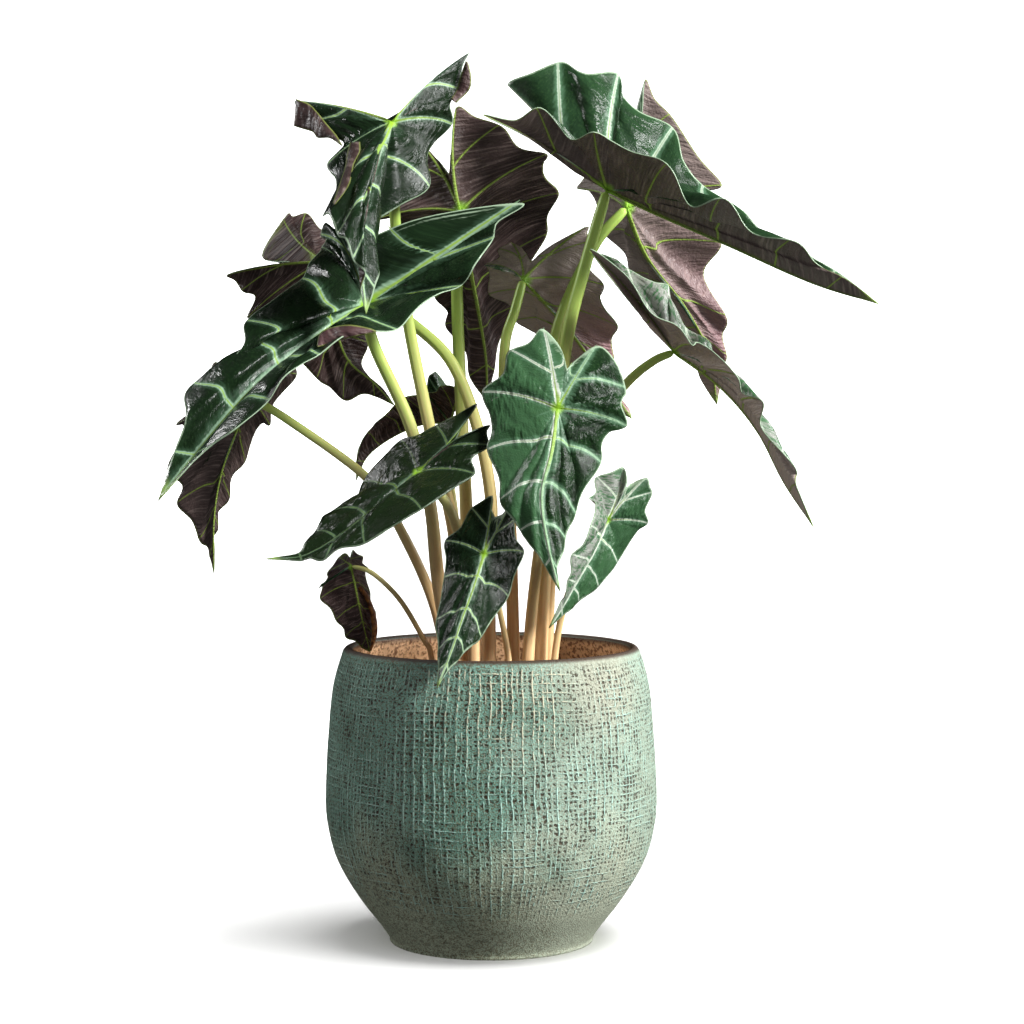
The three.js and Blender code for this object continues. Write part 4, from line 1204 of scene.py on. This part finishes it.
# painted light: the right side, towards the key light, is laid paler
side = add(tree, "Math MULTIPLY_ADD", [cloud, 0.12, side])[0]
warm = add(tree, "Math MULTIPLY_ADD", [shoulder, -11.0, 1.0])[0]
warm = add(tree, "Math MULTIPLY", [warm, lines])[0]
glaze = painted(tree, linear("#628a7b"), (
    ("#739c8d", cloud, 0.35, 0.65, 1.0),
    ("#aaae94", low_cloud, 0.03, -0.05, 0.75),
    ("#9c9784", haze, 0.055, 0.01, 0.8),
    ("#485243", grit, 0.48, 0.66, 0.6),
    ("#594a30", sand, 0.46, 0.6, 0.8),
    # painted light on the right side
    ("#a6ac9b", side, 0.05, 0.13, 0.45),
    ("#3a2818", pits, 0.1, 1.0, 0.85),
    ("#a5cabc", lines, 0.05, 0.8, 0.9),
    ("#bdb79c", warm, 0.05, 0.4, 0.9),
    ("#3a271b", high, 0.2105, 0.2132, 0.95),
))
raised = add(tree, "Math MULTIPLY_ADD", [pits, -1.2, lines])[0]
raised = add(tree, "Math MULTIPLY_ADD", [sand, 0.9, raised])[0]
bump = add(tree, "Bump", {"Height": raised, "Strength": 1.0, "Distance": 0.0009})[0]
feed(shader, {"Base Color": glaze, "Roughness": 0.6, "IOR": 1.5, "Normal": bump})
print("kinds of line drawn:", len(KINDS))

# %% [markdown]
# ## Inner glaze
# Inside, a copper lustre glaze gives the granular clay a warm, half metallic shine that is seen
# behind the stalks. It ends in the bare brown lip.

# %% Copper lustre
inner_glaze, tree, shader = new_material("copper lustre glaze")
place = add(tree, "TexCoord")["Object"]
grains = speckle(tree, place, 420.0)
cloud = speckle(tree, place, 14.0)
high = add(tree, "SeparateXYZ", [place])["Z"]
lustre = painted(tree, linear("#d6a678"), (
    ("#f2c79c", cloud, 0.3, 0.7, 1.0),
    ("#6b4224", grains, 0.46, 0.64, 0.85),
    ("#3a271b", high, 0.2065, 0.2125, 0.95),
))
bump = add(tree, "Bump", {"Height": grains, "Strength": 0.6, "Distance": 0.001})[0]
feed(shader, {"Base Color": lustre, "Metallic": 0.25, "Roughness": 0.45, "Normal": bump})

pot_piece = finished(pot, "stoneware_pot", (outer_glaze, inner_glaze), ("pot",), WELD / 4)
print(pot_piece.name, len(pot_piece.data.polygons), "faces")

# %% [markdown]
# ## Soil
# The plant stands in a loose mix of peat, bark chips and white perlite. The bed is a round grid
# with lumps, and the crumbs on it are small rough stones with a few faces each, because hundreds
# of them lie in view from above. One seed keeps them where they are.

# %% Soil skin
def grainy_material(name, dark, light, scale, roughness):
    """A matt material of two mixed colours with a grainy surface."""
    material, tree, shader = new_material(name)
    place = add(tree, "TexCoord")["Object"]
    grain = speckle(tree, place, scale, detail=5.0)
    mixed = painted(tree, linear(dark), ((light, grain, 0.35, 0.65, 1.0),))
    bump = add(tree, "Bump", {"Height": grain, "Strength": 0.9, "Distance": 0.0015})[0]
    feed(shader, {"Base Color": mixed, "Roughness": roughness, "Normal": bump})
    return material


peat = grainy_material("moist peat", "#1a110b", "#3f2c1f", 500.0, 0.95)
bark = grainy_material("pine bark chips", "#3a2415", "#6d4a30", 300.0, 0.85)
perlite = grainy_material("white perlite", "#bdb7ab", "#e6e2d8", 800.0, 0.9)

# %% Soil bed and crumbs
SOIL_RADIUS = 106.6 * MM
BED_ROWS = 44
BED_SIDES = 144
LUMP = 1.6 * MM
CRUMBS = 420
PERLITE_SHARE = 0.16
CRUMB_SIZE = (1.2 * MM, 4.2 * MM)
CROWN = 2.0 * MM
SKIRT = 6 * MM


def soil_height(x, y):
    """Height of the lumpy bed."""
    lumps = np.sin(160 * x + 2 * np.sin(90 * y)) * np.sin(140 * y + 1.5 * np.sin(120 * x))
    crown = CROWN * (1 - np.hypot(x, y) / SOIL_RADIUS)
    return SOIL_LEVEL + crown + LUMP * lumps


spread = np.linspace(0, 1, BED_ROWS + 1)[:, None] ** 0.8 * SOIL_RADIUS
turn = np.linspace(0, -2 * math.pi, BED_SIDES + 1)[None, :]
bed_x, bed_y = spread * np.cos(turn), spread * np.sin(turn)
bed = formed_grid(np.stack([bed_x, bed_y, soil_height(bed_x, bed_y)], -1))
bmesh.ops.remove_doubles(bed, verts=bed.verts, dist=WELD / 2)
rim = [edge for edge in bed.edges if edge.is_boundary]
skirt = bmesh.ops.extrude_edge_only(bed, edges=rim)
bmesh.ops.translate(bed, verts=[v for v in skirt["geom"] if isinstance(v, bmesh.types.BMVert)],
                    vec=(0, 0, -SKIRT))
bed_piece = finished(bed, "soil_bed", (peat,), ("soil",))

draw = random.Random(7)
crumbs = bmesh.new()
for _ in range(CRUMBS):
    reach = SOIL_RADIUS * math.sqrt(draw.random()) * 0.97
    turn = draw.uniform(0, 2 * math.pi)
    x, y = reach * math.cos(turn), reach * math.sin(turn)
    white = draw.random() < PERLITE_SHARE
    size = draw.uniform(*CRUMB_SIZE) * (0.6 if white else 1)
    place = Matrix.Translation((x, y, float(soil_height(x, y)) + 0.2 * size))
    twist = Matrix.Rotation(draw.uniform(0, math.pi), 4, Vector((draw.random(), draw.random(), 1)))
    shape = Matrix.Diagonal((size, size * draw.uniform(0.5, 0.9), size * draw.uniform(0.3, 0.7), 1))
    made = bmesh.ops.create_icosphere(crumbs, subdivisions=1, radius=1.0, matrix=place @ twist @ shape)
    for face in {face for vertex in made["verts"] for face in vertex.link_faces}:
        face.material_index = 1 if white else 0
finished(crumbs, "soil_crumbs", (bark, perlite))
print("soil:", len(bed_piece.data.polygons), "bed faces,", CRUMBS, "crumbs")

# %% [markdown]
# ## Size
# The dressed plant must keep the size of the imported model, so the box round it is measured at the end.

# %% Measure the size
low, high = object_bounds()
